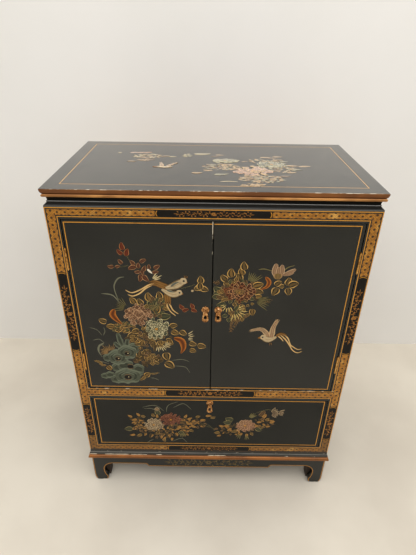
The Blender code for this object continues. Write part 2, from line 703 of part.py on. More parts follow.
def build_door(sign, leaves):
    name = side_name(sign)
    hinge_edge = sign * (OPENING_HALF - HINGE_GAP)
    x0, x1 = sorted((hinge_edge, sign * MEETING_HALF_GAP))
    back = FRONT_Y + DOOR_THICKNESS
    door = box(
        f"{name}_door", (x0, FRONT_Y, DOOR_Z0 + REVEAL), (x1, back, DOOR_Z1 - REVEAL),
        BLACK_LACQUER, DOOR_EDGE_ROUND,
    )
    for z in hinge_heights():
        boolean(door, hinge_mortise(hinge_edge, -sign, z), "DIFFERENCE")
    door = bake(door)
    plate_edge = MEETING_HALF_GAP + CATCH_PLATE_FROM_EDGE
    px0, px1 = sorted(sign * (plate_edge + w) for w in (0, CATCH_PLATE_WIDTH))
    plate_z1 = DOOR_Z1 - REVEAL - CATCH_PLATE_FROM_EDGE
    catch_plate = box(
        f"{name}_catch_plate",
        (px0, back + FIT, plate_z1 - CATCH_PLATE_HEIGHT), (px1, back + FIT + CATCH_PLATE_THICKNESS, plate_z1),
        STEEL,
    )
    pull_at = (sign * (MEETING_HALF_GAP + PULL_FROM_MEETING_EDGE), FRONT_Y, DOOR_Z0 + PULL_RISE_IN_DOOR)
    pull = pull_plate(f"{name}_pull_plate", pull_at)
    drop = pull_drop(f"{name}_pull_drop", pull_at)
    swing = joint_empty(f"{name}_door_swing", (sign * AXIS_X, AXIS_Y, (DOOR_Z0 + DOOR_Z1) / 2))
    hold([door, catch_plate, pull, drop, *leaves], swing)


def build_catch():
    """A twin magnet block on the back of the top rail, reaching down behind both doors."""
    y0 = BEHIND_FRAME_Y
    box(
        "door_catch",
        (-CATCH_WIDTH / 2, y0, DOOR_Z1 - CATCH_BELOW_RAIL),
        (CATCH_WIDTH / 2, y0 + CATCH_DEPTH, DOOR_Z1 + CATCH_OVER_RAIL),
        INNER_PAINT, REVEAL,
    )


# Drawer and the runners it slides on


def build_drawer():
    outer = OPENING_HALF - DRAWER_SIDE_CLEARANCE
    inner = outer - DRAWER_SIDE_THICKNESS
    z0 = DRAWER_Z0 + REVEAL
    front_back = FRONT_Y + DRAWER_FRONT_THICKNESS
    box_y0 = front_back + FIT
    box_y1 = BACK_PANEL_Y - DRAWER_BACK_SPACE
    half, front_top = OPENING_HALF - REVEAL, DRAWER_Z1 - REVEAL
    low, high = (-half, FRONT_Y, z0), (half, front_back, front_top)
    pieces = [box("drawer_front", low, high, BLACK_LACQUER, DOOR_EDGE_ROUND)]
    groove_z0 = z0 + DRAWER_BOTTOM_RISE
    groove_z1 = groove_z0 + DRAWER_BOTTOM_THICKNESS + 2 * FIT
    top = front_top - DRAWER_SIDE_DROP
    outline = [
        (outer, z0), (inner, z0), (inner, groove_z0), (inner + DRAWER_GROOVE, groove_z0),
        (inner + DRAWER_GROOVE, groove_z1), (inner, groove_z1), (inner, top), (outer, top),
    ]
    for sign in (LEFT, RIGHT):
        near, far = ([(sign * x, y, z) for x, z in outline] for y in (box_y0, box_y1))
        pieces.append(prism(f"drawer_{side_name(sign)}_side", near, far, PLAIN_WOOD))
    floor_half, floor_z = inner + DRAWER_GROOVE - FIT, groove_z0 + FIT
    floor_top = floor_z + DRAWER_BOTTOM_THICKNESS
    back_half, back_y = inner - FIT, box_y1 - DRAWER_SIDE_THICKNESS
    pull_at = (0, FRONT_Y, front_top - PULL_BELOW_DRAWER_TOP)
    pieces += [
        box("drawer_bottom", (-floor_half, box_y0, floor_z), (floor_half, box_y1, floor_top), PLAIN_WOOD),
        box("drawer_back", (-back_half, back_y, floor_top + FIT), (back_half, box_y1, top), PLAIN_WOOD),
        pull_plate("drawer_pull_plate", pull_at),
        pull_drop("drawer_pull_drop", pull_at),
    ]
    hold(pieces, joint_empty("drawer_slide", (0, FRONT_Y, z0)))


def build_runners():
    """Rebated strips along the case sides: the drawer's sides rest on the ledge and run against the guide."""
    outer = OPENING_HALF - DRAWER_SIDE_CLEARANCE
    ledge_inner = outer - DRAWER_SIDE_THICKNESS
    ledge_top = DRAWER_Z0 + REVEAL - FIT
    wall, guide = INNER_HALF - FIT, outer + RUNNER_SIDE_PLAY
    outline = [
        (wall, ledge_top - RUNNER_THICKNESS), (ledge_inner, ledge_top - RUNNER_THICKNESS),
        (ledge_inner, ledge_top), (guide, ledge_top),
        (guide, ledge_top + RUNNER_GUIDE_HEIGHT), (wall, ledge_top + RUNNER_GUIDE_HEIGHT),
    ]
    for sign in (LEFT, RIGHT):
        near, far = ([(sign * x, y, z) for x, z in outline] for y in (BEHIND_FRAME_Y, BACK_PANEL_Y - FIT))
        prism(f"{side_name(sign)}_drawer_runner", near, far, PLAIN_WOOD)


build_aprons()
build_corner_blocks()
build_moulding("base_moulding", base_profile(), BASE_HEIGHT, BRONZE_PAINT)
build_back_strip("base_back_strip", BASE_HEIGHT + FIT, CASE_Z)
build_front_frame()
build_sides_and_back()
build_boards()
build_runners()
build_moulding("neck_moulding", neck_profile(), NECK_Z, BLACK_LACQUER)
build_back_strip("neck_back_strip", NECK_Z + FIT, TOP_Z)
build_top_board()
build_catch()
hinge_leaves = build_hinges()
for door_side in (LEFT, RIGHT):
    build_door(door_side, hinge_leaves[door_side])
build_drawer()
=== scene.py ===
import random
from math import atan2, cos, pi, radians, sin

import bmesh
import bpy
from mathutils import Matrix, Vector


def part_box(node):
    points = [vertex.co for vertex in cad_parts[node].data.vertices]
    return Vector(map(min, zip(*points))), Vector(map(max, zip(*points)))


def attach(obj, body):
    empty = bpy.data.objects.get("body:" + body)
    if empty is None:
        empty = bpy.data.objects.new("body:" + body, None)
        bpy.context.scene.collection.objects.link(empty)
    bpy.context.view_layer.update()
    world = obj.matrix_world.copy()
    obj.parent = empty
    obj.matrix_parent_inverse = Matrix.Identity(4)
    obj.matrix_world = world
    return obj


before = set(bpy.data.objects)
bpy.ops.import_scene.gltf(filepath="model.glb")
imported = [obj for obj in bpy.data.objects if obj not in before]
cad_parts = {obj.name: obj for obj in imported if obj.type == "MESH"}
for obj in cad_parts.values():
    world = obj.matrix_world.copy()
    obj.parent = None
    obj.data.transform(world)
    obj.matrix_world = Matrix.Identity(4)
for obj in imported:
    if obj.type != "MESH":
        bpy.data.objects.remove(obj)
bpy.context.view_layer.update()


# Base: four mitred softwood aprons sawn to scrolled bracket feet, with blocks glued in the corners.
# Polished black lacquer covers the three that show, and the rest is stained. A gilt line follows the
# sawn edge, and a gilt vine is brushed along the middle of the front.

class Wire:
    """A socket in a shader tree. Arithmetic on it adds Math nodes, and node() adds any other node."""

    def __init__(self, tree, socket=None):
        self.tree = tree
        self.socket = socket

    def node(self, kind, settings=None, inputs=None, output=0):
        made = self.tree.nodes.new("ShaderNode" + kind)
        for name, value in (settings or {}).items():
            setattr(made, name, value)
        for name, value in (inputs or {}).items():
            if isinstance(value, Wire):
                self.tree.links.new(value.socket, made.inputs[name])
            else:
                made.inputs[name].default_value = value
        return Wire(self.tree, made.outputs[output] if output is not None else None)

    def math(self, operation, *values):
        return self.node("Math", {"operation": operation}, dict(enumerate(values)))

    def __add__(self, other):
        return self.math("ADD", self, other)

    def __sub__(self, other):
        return self.math("SUBTRACT", self, other)

    def __rsub__(self, other):
        return self.math("SUBTRACT", other, self)

    def __mul__(self, other):
        return self.math("MULTIPLY", self, other)

    __radd__ = __add__
    __rmul__ = __mul__

    def __abs__(self):
        return self.math("ABSOLUTE", self)

    def either(self, other):
        return self.math("MAXIMUM", self, other)

    def above(self, low, high):
        """0 up to low, 1 from high on, and a smooth step between them."""
        ends = {"Value": self, "From Min": low, "From Max": high}
        return self.node("MapRange", {"interpolation_type": "SMOOTHSTEP"}, ends)

    def near(self, value, reach):
        """1 at a value, falling to 0 at a distance from it."""
        return 1 - abs(self - value).above(0.0, reach)

    def blend(self, ground, other):
        """The colour that runs from ground, where this is 0, to the other, where it is 1."""
        return self.node("Mix", {"data_type": "RGBA"}, {0: self, 6: ground, 7: other}, 2)

    def axes(self):
        """The three parts of a vector."""
        return [self.node("SeparateXYZ", {}, {0: self}, part) for part in range(3)]

    def cloud(self, scale, detail=3.0, stretch=(1.0, 1.0, 1.0)):
        """Noise from 0 to 1 at these coordinates."""
        drawn = self.node("Mapping", {}, {"Vector": self, "Scale": stretch})
        return self.node("TexNoise", {}, {"Vector": drawn, "Scale": scale, "Detail": detail})


def colour(red, green, blue):
    """A screen colour of 0 to 255 as the shader's linear one."""
    parts = [part / 255 for part in (red, green, blue)]
    return (*[((part + 0.055) / 1.055) ** 2.4 for part in parts], 1.0)


def shades(*screen_colours):
    """The tones of a stroke's rim, its body and its core. The last one given serves for those left."""
    made = [colour(*screen_colour) for screen_colour in screen_colours]
    return tuple(made + made[-1:] * (3 - len(made)))


def new_finish(name):
    """An empty material, and its piece's own coordinates in metres."""
    material = bpy.data.materials.new(name)
    material.use_nodes = True
    material.node_tree.nodes.clear()
    return material, Wire(material.node_tree).node("TexCoord", {}, {}, "Object")


def lay_on(place, height, depth, tint, rough, others=None):
    """Ends a material in one glossy shader whose surface waves by the height, depth metres at most."""
    bump = place.node("Bump", {}, {"Height": height, "Distance": depth})
    sockets = {"Base Color": tint, "Roughness": rough, "Normal": bump, **(others or {})}
    shader = place.node("BsdfPrincipled", {}, sockets)
    place.node("OutputMaterial", {}, {"Surface": shader}, None)


LACQUER_BLACK = colour(9, 12, 8)
LACQUER_BROWN = colour(18, 20, 14)
GESSO = colour(226, 214, 190)


def black_lacquer(name, worn_edge=None, shine=0.5):
    """Polished black lacquer. worn_edge turns x, y and z into a mask where flakes show the gesso."""
    material, place = new_finish(name)
    smears = place.cloud(9.0, 4.0)
    scuffs = place.cloud(60.0, 5.0, (1.0, 1.0, 0.25)).above(0.62, 0.8)
    tint = smears.above(0.35, 0.75).blend(LACQUER_BLACK, LACQUER_BROWN)
    gloss = 0.07 + smears * 0.07 + scuffs * 0.05
    ripple = place.cloud(140.0, 2.0) + place.cloud(900.0, 2.0) * 0.15
    if worn_edge:
        flakes = place.cloud(95.0, 4.0, (0.5, 1.0, 1.0))
        lost = (worn_edge(*place.axes()) * flakes).above(0.47, 0.54)
        tint = lost.blend(tint, GESSO)
        gloss = gloss + lost * 0.5
        ripple = ripple - lost * 3.0
    lay_on(place, ripple, 0.00004, tint, gloss, {"Specular IOR Level": shine})
    return material


def dress(material, slot, sanding, *names):
    """Finishes CAD nodes, and rounds their hard edges as far as sanding does."""
    for name in names:
        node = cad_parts[name]
        node.data.materials.clear()
        node.data.materials.append(material)
        if sanding:
            weld = node.modifiers.new("one_skin", "WELD")
            weld.merge_threshold = 0.00001
            edges = node.modifiers.new("sanded_edges", "BEVEL")
            edges.width = sanding
            edges.segments = 2
            edges.limit_method = "ANGLE"
            edges.angle_limit = radians(35)
            edges.harden_normals = True


def leaf_outline(t):
    return sin(pi * t ** 0.72) ** 0.9


def petal_outline(t):
    return min(1.0, 0.35 + 1.3 * t) * max(0.0, 1.0 - t ** 5) ** 0.5


def brush_outline(t):
    return min(1.0, 0.15 + 3.0 * t) * (1.0 - t) ** 0.35


def ruled_outline(_):
    return 1.0


def on_path(points, t):
    """The place at t, from 0 to 1, on a smooth curve through the points, and its left-hand side."""
    spans = len(points) - 1
    span = min(int(t * spans), spans - 1)
    t = t * spans - span
    last, start, end, after = [points[min(max(span + step, 0), spans)] for step in (-1, 0, 1, 2)]
    slope = end - last
    bend = 2 * last - 5 * start + 4 * end - after
    turn = 3 * (start - end) + after - last
    way = slope + 2 * t * bend + 3 * t * t * turn
    side = Vector((-way.y, way.x)).normalized()
    return start + 0.5 * (t * slope + t * t * bend + t ** 3 * turn), side


class Relief:
    """Raised painting on a flat panel. It is laid in millimetres across and up from a corner."""

    RIM = 0.75
    LAYER = 0.004
    LAYERS = 12
    ROOT = -0.1
    POINT = 0.002

    def __init__(self, corner, across, up, seed):
        axes = Matrix((across, up, across.cross(up))).transposed().to_4x4()
        self.place = Matrix.Translation(corner) @ axes @ Matrix.Scale(0.001, 4)
        self.bm = bmesh.new()
        self.bm.loops.layers.float_color.new("paint")
        self.wet = bpy.data.meshes.new("wet_stroke")
        self.chance = random.Random(seed)
        self.coat = 0.06
        self.laid = 0

    def stroke(self, points, width, tones, outline=leaf_outline, rise=0.07, steps=8,
               over=0.0, tip=1.0, core=0.1):
        """A stroke along a curve, with the tones of its rim, its body and its core.
        It lies over millimetres above the coat, and beyond tip it keeps the tone of its rim."""
        points = [Vector(point) for point in points]
        spine = [on_path(points, step / steps) for step in range(steps + 1)]
        rows = (-1.0, -self.RIM, -core, core, self.RIM, 1.0)
        last = len(rows) - 1
        self.laid += 1
        height = self.coat + over + self.LAYER * (self.laid % self.LAYERS)
        bm = bmesh.new()
        paint = bm.loops.layers.float_color.new("paint")
        bmesh.ops.create_grid(bm, x_segments=steps, y_segments=last, size=0.5)
        for face in bm.faces:
            middle = face.calc_center_median()
            row = int((middle.y + 0.5) * last)
            tone = tones[0 if middle.x + 0.5 > tip else min(row, last - 1 - row)]
            for loop in face.loops:
                loop[paint] = tone
        for vert in bm.verts:
            along = vert.co.x + 0.5
            across = rows[round((vert.co.y + 0.5) * last)]
            centre, side = spine[round(along * steps)]
            spot = centre + side * across * outline(along) * width / 2
            vert.co = (*spot, height + rise * (1 - across * across))
        self.wall(bm, paint, tones[0])
        bm.to_mesh(self.wet)
        bm.free()
        self.bm.from_mesh(self.wet)

    def wall(self, bm, paint, tone):
        """Closes a stroke's points, and takes its rim down into the panel."""
        bmesh.ops.remove_doubles(bm, verts=bm.verts, dist=self.POINT)
        rim = [edge for edge in bm.edges if edge.is_boundary]
        for part in bmesh.ops.extrude_edge_only(bm, edges=rim)["geom"]:
            if isinstance(part, bmesh.types.BMVert):
                part.co.z = self.ROOT
            elif isinstance(part, bmesh.types.BMFace):
                for loop in part.loops:
                    loop[paint] = tone

    def rule(self, start, end, width, tones):
        """A straight ruled line."""
        self.stroke((start, end), width, tones, ruled_outline, 0.06, 1)

    def frame_line(self, low, high, width, tones, lowest=None):
        """Four ruled lines round a rectangle, their middles on its edges.
        The lowest may have tones of its own."""
        half = width / 2
        for v, laid in ((low[1], lowest or tones), (high[1], tones)):
            self.rule((low[0] - half, v), (high[0] + half, v), width, laid)
        for u in (low[0], high[0]):
            self.rule((u, low[1] + half), (u, high[1] - half), width, tones)

    def fix(self, name, material, slot, body):
        """Puts the painting on its panel as one piece."""
        bpy.data.meshes.remove(self.wet)
        self.bm.transform(self.place)
        bmesh.ops.recalc_face_normals(self.bm, faces=self.bm.faces)
        add_piece(name, self.bm, material, body)


def new_object(name, bm, material):
    """Makes an object at the origin from a finished bmesh."""
    mesh = bpy.data.meshes.new(name)
    bm.to_mesh(mesh)
    bm.free()
    mesh.materials.append(material)
    made = bpy.data.objects.new(name, mesh)
    bpy.context.scene.collection.objects.link(made)
    return made


def add_piece(name, bm, material, body):
    """Makes a piece that rides on a CAD body."""
    piece = new_object(name, bm, material)
    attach(piece, body)


def brushed_paint(name, metal, gloss, shine=0.15, coat=0.0):
    """Oil gilding and coloured lacquer put on with a brush. Its colours are in the paint attribute."""
    material, place = new_finish(name)
    laid = place.node("Attribute", {"attribute_name": "paint"}, {}, "Color")
    streaks = place.cloud(420.0, 4.0, (1.0, 1.0, 0.6))
    # Patches where the paint is worn thin and shows the ground.
    wear_and_sheen = place.cloud(70.0, 5.0).above(0.56, 0.72)
    thin = streaks.above(0.62, 0.8).either(wear_and_sheen * 0.5) * 0.55
    tint = thin.blend(laid, LACQUER_BROWN)
    tint = streaks.above(0.2, 0.45).blend(thin.blend(tint, LACQUER_BLACK), tint)
    lay_on(place, streaks, 0.00012, tint, gloss + streaks * 0.2,
           {"Metallic": metal, "Specular IOR Level": shine, "Coat Weight": coat})
    return material


ACROSS = Vector((1, 0, 0))
UP = Vector((0, 0, 1))
BACK = Vector((0, 1, 0))
RIGHTWARDS = Vector((1, 0))
GILT_TONES = shades((164, 106, 34), (216, 152, 52))

gilding = brushed_paint("oil_gilding", 0.25, 0.25, 0.4)


def towards(angle, across=1.0, up=1.0):
    """From the middle to the edge of a circle or an oval, at an angle."""
    return Vector((cos(angle) * across, sin(angle) * up))


def curl(relief, centre, radius, start, sweep, tones, width):
    """A tendril that winds inwards."""
    points = []
    for step in range(9):
        reach = radius * (1 - 0.085 * step)
        points.append(centre + reach * towards(start + sweep * step / 8))
    relief.stroke(points, width, tones, brush_outline, 0.2, 16)


def vine(relief, middle, reach, height, along, tones, curls):
    """A running scroll to both sides of a small blossom."""
    heading = atan2(along.y, along.x)
    for side in (-1, 1):
        for step in range(curls):
            turn = 1 if step % 2 else -1
            radius = height * (0.44 - 0.06 * step / curls)
            run = reach * (step + 0.75) / curls
            centre = middle + side * run * along + turn * 0.06 * height * along.orthogonal()
            start = heading + (pi if side > 0 else 0) - turn * side * 0.9
            curl(relief, centre, radius, start, turn * side * 4.6, tones, 0.11 * height)
            for sprout in (-0.8, 0.5, 1.7, 2.8):
                way = towards(heading + sprout, 1, turn) * side
                root = centre + radius * 0.8 * way
                tip = root + 0.45 * height * way
                relief.stroke((root, tip), 0.2 * height, tones, leaf_outline, 0.25, 4)
        end = middle + side * reach * along
        tip = end + side * 0.9 * height * along
        relief.stroke((end, tip), 0.14 * height, tones, leaf_outline, 0.2, 4)
    for petal in range(6):
        way = towards(petal * pi / 3) * height * 0.42
        relief.stroke((middle + 0.2 * way, middle + way), 0.3 * height, tones, petal_outline, 0.3, 4)


def bare_wood(name, stretch, pale, dark):
    """Planed softwood, bare or stained. The grain runs along the axis that is stretched least."""
    material, place = new_finish(name)
    drawn = place.node("Mapping", {}, {"Vector": place, "Scale": stretch})
    waver = place.cloud(3.0, 2.0)
    growth = {"Vector": drawn, "Scale": 30.0, "Distortion": 6.0, "Detail": 3.0, "Detail Scale": 1.2}
    rings = drawn.node("TexWave", {"wave_type": "BANDS", "bands_direction": "DIAGONAL"}, growth, "Fac")
    pores = place.cloud(500.0, 3.0, stretch)
    tint = (rings * 0.4 + waver * 0.6).above(0.2, 0.9).blend(pale, dark)
    tint = pores.above(0.6, 0.75).blend(tint, dark)
    lay_on(place, rings * 0.3 + pores, 0.0001, tint, 0.55 + pores * 0.2)
    return material


APRONS = ("front_apron", "left_apron", "right_apron")
FOOT_BLOCKS = [f"{end}_{side}_foot_block" for end in ("front", "back") for side in ("left", "right")]
EDGE_LINE = 0.0022
EDGE_LINE_INSET = 0.0012
EDGE_LINE_RISE = 0.00012
EDGE_GOLD = colour(184, 126, 48)
BARE_TOE = 0.006
BARE_HEAD = 0.004


def scuffed_feet(_x, _y, z):
    return z.near(0.0, 0.006)


def sawn_edge_line(apron, outward):
    """A gilt line inside the outline of an apron's face, from a merged copy of that face."""
    bm = bmesh.new()
    bm.from_mesh(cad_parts[apron].data)
    bmesh.ops.remove_doubles(bm, verts=bm.verts, dist=0.00001)
    reach = max(vert.co.dot(outward) for vert in bm.verts)
    turned_away = [face for face in bm.faces if face.calc_center_median().dot(outward) < reach - 0.0002]
    bmesh.ops.delete(bm, geom=turned_away, context="FACES")
    bmesh.ops.dissolve_limit(bm, angle_limit=0.01, verts=bm.verts, edges=bm.edges)
    for width in (EDGE_LINE_INSET, EDGE_LINE):
        inner = list(bm.faces)
        ring = bmesh.ops.inset_region(bm, faces=inner, thickness=width, use_boundary=True,
                                      use_even_offset=True)["faces"]
        bmesh.ops.delete(bm, geom=ring if width == EDGE_LINE_INSET else inner, context="FACES")
    top = max(vert.co.z for vert in bm.verts)
    bare = [face for face in bm.faces
            if not BARE_TOE < face.calc_center_median().z < top - BARE_HEAD]
    bmesh.ops.delete(bm, geom=bare, context="FACES")
    raised = bmesh.ops.extrude_face_region(bm, geom=bm.faces[:])["geom"]
    lifted = [part for part in raised if isinstance(part, bmesh.types.BMVert)]
    bmesh.ops.translate(bm, verts=lifted, vec=outward * EDGE_LINE_RISE)
    bmesh.ops.recalc_face_normals(bm, faces=bm.faces)
    paint = bm.loops.layers.float_color.new("paint")
    for face in bm.faces:
        for loop in face.loops:
            loop[paint] = EDGE_GOLD
    add_piece(apron + "_gilt_edge", bm, gilding, "case")


dress(black_lacquer("base_lacquer", scuffed_feet, 0.4), "black_lacquer", 0.0005, *APRONS)
stained_wood = bare_wood("stained_wood", (0.08, 1.0, 1.0), colour(62, 44, 30), colour(40, 29, 21))
dress(stained_wood, "plain_wood", 0.0005, "back_apron", *FOOT_BLOCKS)
for apron, outward in zip(APRONS, (-BACK, -ACROSS, ACROSS)):
    sawn_edge_line(apron, outward)

APRON_VINE = shades((72, 58, 32), (104, 84, 46), (84, 72, 38))
apron_vine = Relief(Vector((0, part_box("front_apron")[0].y, 0)), ACROSS, UP, 1)
vine(apron_vine, Vector((0, 95)), 124, 26, RIGHTWARDS, APRON_VINE, 6)
apron_vine.fix("apron_vine", gilding, "brass", "case")


# Base moulding: lengths of beech mitred round the case, planed to a torus under a sloping fillet.
# The torus is bronze powder paint. The fillet is black with a painted grey sheen and highlight, and
# knocks have flaked it to the white gesso.
BRONZE = colour(160, 98, 36)
BRONZE_DARK = colour(110, 62, 18)
BRONZE_LIGHT = colour(208, 148, 80)
PAINTED_SHEEN_GREY = colour(128, 124, 116)
BASE_MOULDINGS = ("base_moulding_front", "base_moulding_left", "base_moulding_right")
TORUS_TOP = 0.1338
FILLET_LIP = 0.1434


def bronze_and_black(name, black_from, lip):
    """Bronze powder paint below a height, and above it black lacquer with a painted grey sheen and
    highlight at its lip.
    Where the two meet, knocks show the gesso."""
    material, place = new_finish(name)
    z = place.axes()[2]
    grain = place.cloud(600.0, 3.0)
    smears = place.cloud(35.0, 5.0, (0.35, 0.35, 1.0))
    bronze = smears.above(0.3, 0.75).blend(BRONZE_DARK, BRONZE)
    bronze = (grain.above(0.5, 0.85) * 0.4).blend(bronze, BRONZE_LIGHT)
    black = (z + smears * 0.0006).above(black_from, black_from + 0.0005)
    # Painted reflection: a faint grey sheen over all the black, rising to a painted highlight along the
    # lip.
    wear_and_sheen = (z.near(lip, 0.003) * smears.above(0.2, 0.5) * 1.4 + 0.2) * 0.45
    tint = black.blend(bronze, wear_and_sheen.blend(LACQUER_BLACK, PAINTED_SHEEN_GREY))
    flakes = place.cloud(60.0, 6.0, (1.0, 1.0, 1.6)) * place.cloud(11.0, 2.0).above(0.4, 0.6)
    lost = (flakes * z.near(black_from + 0.0014, 0.0046)).above(0.36, 0.42)
    tint = lost.blend(tint, GESSO)
    rough = 0.36 + grain * 0.12 - black * 0.26 + lost * 0.5
    metal = (1 - black) * (1 - lost) * 0.35
    lay_on(place, grain - lost * 4.0, 0.00006, tint, rough, {"Metallic": metal})
    return material


base_bronze = bronze_and_black("base_moulding_bronze", TORUS_TOP, FILLET_LIP)
dress(base_bronze, "bronze_paint", 0, *BASE_MOULDINGS)


# Case: plywood sides rebated for a thin back, with a bottom, a cupboard floor and a shelf on cleats.
# The outside is black lacquer, the inside one thin brushed coat, and the back and runners bare wood.
# A gilt line runs round each side.
INNER_DARK = colour(27, 24, 21)
INNER_LIGHT = colour(43, 38, 33)
LINE = 2.2
SIDE_LINE_INSET = 26


def inner_coat(name):
    """One brushed coat of satin black, with the strokes left in it."""
    material, place = new_finish(name)
    strokes = place.cloud(40.0, 5.0, (0.15, 1.0, 1.0))
    tint = strokes.above(0.3, 0.75).blend(INNER_DARK, INNER_LIGHT)
    ripple = strokes + place.cloud(300.0) * 0.3
    lay_on(place, ripple, 0.00015, tint, 0.45 + strokes * 0.2)
    return material


WOOD = (colour(186, 148, 104), colour(156, 116, 76))
side_wood = bare_wood("bare_wood_lengthwise", (1.0, 0.08, 1.0), *WOOD)
cross_wood = bare_wood("bare_wood_crosswise", (0.08, 1.0, 1.0), *WOOD)
cupboard_coat = inner_coat("cupboard_coat")
dress(black_lacquer("side_lacquer"), "black_lacquer", 0.0006, "left_side", "right_side")
dress(cupboard_coat, "inner_paint", 0.0005, "cupboard_floor", "bottom_board", "shelf",
      "left_shelf_cleat", "right_shelf_cleat")
dress(cross_wood, "plain_wood", 0.0004, "back_panel", "base_back_strip", "neck_back_strip")
dress(side_wood, "plain_wood", 0.0004, "left_drawer_runner", "right_drawer_runner")

for side, outward in (("left_side", -ACROSS), ("right_side", ACROSS)):
    low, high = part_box(side)
    across = UP.cross(outward)
    corner = Vector((low.x if outward.x < 0 else high.x, high.y if across.y < 0 else low.y, low.z))
    size = (high - low) * 1000
    border = Relief(corner, across, UP, 2)
    border.frame_line((SIDE_LINE_INSET, SIDE_LINE_INSET),
                      (size.y - SIDE_LINE_INSET, size.z - SIDE_LINE_INSET), LINE, GILT_TONES)
    border.fix(side + "_gilt_border", gilding, "brass", "case")


# Front frame: two stiles and three rails, tenoned and glued flush, in black lacquer.
# Gilt lines edge each member and run round an ochre band with a dotted lattice. In its middle each
# member has a black panel with rounded ends and a gilt and red vine.
OCHRE = colour(196, 133, 39)
OCHRE_DARK = colour(150, 96, 24)
OCHRE_LIGHT = colour(226, 172, 84)
LATTICE_BROWN = colour(34, 17, 8)
INK = colour(20, 17, 14)
DARK_LOWEST_GILT = shades((44, 26, 12), (74, 44, 18))
VINE_TONES = shades((104, 68, 30), (164, 112, 50), (124, 58, 30))
LATTICE_PITCH = 17.6
BAND_RISE = 0.08
CASE_HALF = 381.0
CASE_LOW = 145.3
CASE_HIGH = 979.0
DOOR_LINES = ((-354.0, 422.6), (354.0, 956.6))
DRAWER_LINES = ((-355.0, 177.5), (354.0, 395.6))
BLACK_GAP = 2.5
RAIL_PANEL_REACH = 130.0
RAIL_BAND_START = 100
STILE_PANELS = ((217.5, 358.5), (565.5, 808.5))
PANEL_OVERLAP = 0.8
PANEL_ARC = 2.6
UPWARDS = Vector((0, 1))


def dotted_lattice(name):
    """Ochre gold with a fine brown lattice, a row of dots along its middle and half dots at its edges.
    Low down it is darker, and on the stiles more so."""
    material, place = new_finish(name)
    along, across, _ = place.node("UVMap", {"uv_map": "lattice"}).axes()
    brush = place.cloud(160.0, 4.0)
    ground = brush.above(0.3, 0.7).blend(OCHRE_DARK, OCHRE)
    ground = place.cloud(45.0, 4.0).above(0.55, 0.75).blend(ground, OCHRE_LIGHT)
    run = along.math("PINGPONG", along, 0.5) * 2
    side = abs(across)
    rest, edge = 1 - run, 1 - side
    dots = 1 - (run * run + side * side).above(0.075, 0.13)
    edge_dots = 1 - (rest * rest * 0.5 + edge * edge).above(0.04, 0.09)
    lozenge = run + side
    lines = lozenge.near(1.0, 0.09).either(lozenge.near(0.55, 0.06)).either(lozenge.near(1.45, 0.06))
    drawn = dots.either(edge_dots).either(lines * 0.9) * brush.above(0.15, 0.4)
    x, _, z = place.axes()
    low_darkening = (1 - z.above(0.2, 0.4)) * (0.27 + abs(x).above(0.353, 0.356) * 0.18)
    tint = low_darkening.blend((drawn * 0.95).blend(ground, LATTICE_BROWN), LACQUER_BROWN)
    lay_on(place, brush - dots * 0.5, 0.00008, tint, 0.36 + brush * 0.2, {"Metallic": 0.2})
    return material


def band(bm, low, high):
    """A thin flat strip of painted ground between two corners of the front, mapped along its length."""
    made = bmesh.ops.create_cube(bm, size=1.0)["verts"]
    size = Vector((high[0] - low[0], BAND_RISE * 2, high[1] - low[1]))
    lattice = bm.loops.layers.uv["lattice"]
    lying = size.x > size.z
    for vert in made:
        along = vert.co.x * size.x if lying else vert.co.z * size.z
        across = vert.co.z if lying else vert.co.x
        for loop in vert.link_loops:
            loop[lattice].uv = (along / LATTICE_PITCH, 2 * across)
    bmesh.ops.scale(bm, verts=made, vec=size * 0.001)
    middle = Vector(((low[0] + high[0]) / 2, 0, (low[1] + high[1]) / 2)) * 0.001
    bmesh.ops.translate(bm, verts=made, vec=middle + Vector((0, front_y, 0)))


def panel_outline(t):
    return min(1.0, 0.5 + (min(t, 1 - t) / 0.012) ** 0.5)


def painted_panel(relief, middle, reach, half, along):
    """A black panel let into the band, with curved gilt ends and a vine."""
    across = Vector((-along.y, along.x))
    tip = reach + PANEL_ARC
    relief.coat = 0.1
    ends = (middle - tip * along, middle + tip * along)
    relief.stroke(ends, 2 * half, (INK, INK, INK), panel_outline, 0.0, 100)
    relief.coat = 0.14
    for side in (-1, 1):
        arc = []
        for step in range(-4, 5):
            run = side * (tip - 2.4 - PANEL_ARC * (step / 4) ** 2)
            arc.append(middle + run * along + step / 4 * (half - 1.2) * across)
        relief.stroke(arc, 1.5, GILT_TONES, ruled_outline, 0.06, 16)
    vine(relief, middle, reach * 0.62, half * 1.5, along, VINE_TONES, 6 if reach > 100 else 4)


DOOR_FOOT = 0.425
STILE_EDGE = 0.3485
CASE_FOOT = 0.147
FRONT_ARRIS = -0.211


def knocked_front(x, y, z):
    edges = z.near(DOOR_FOOT, 0.0035).either(abs(x).near(STILE_EDGE, 0.002) * 0.9)
    edges = edges.either(z.near(CASE_FOOT, 0.002) * 0.9)
    return y.near(FRONT_ARRIS, 0.0016) * edges * 0.94


FRAME_NODES = ("left_stile", "right_stile", "top_rail", "middle_rail", "bottom_rail")
dress(black_lacquer("frame_lacquer", knocked_front), "black_lacquer", 0.0004, *FRAME_NODES)

front_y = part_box("left_stile")[0].y


def front_relief(seed, node=None):
    """Painting on the front, laid out from the middle of the floor or from a node's lower left corner."""
    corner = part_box(node)[0] if node else Vector()
    return Relief(Vector((corner.x, front_y, corner.z)), ACROSS, UP, seed)


half_line = LINE / 2
inside = half_line + BLACK_GAP
outer = ((-CASE_HALF + 1.3, CASE_LOW + 9.0), (CASE_HALF - 1.3, CASE_HIGH - 1.3))
band_low = outer[0][1] + inside
band_high = outer[1][1] - inside
stile_band = (DOOR_LINES[1][0] + inside, outer[1][0] - inside)
rail_bands = ((band_low, DRAWER_LINES[0][1] - inside),
              (DRAWER_LINES[1][1] + inside, DOOR_LINES[0][1] - inside),
              (DOOR_LINES[1][1] + inside, band_high))

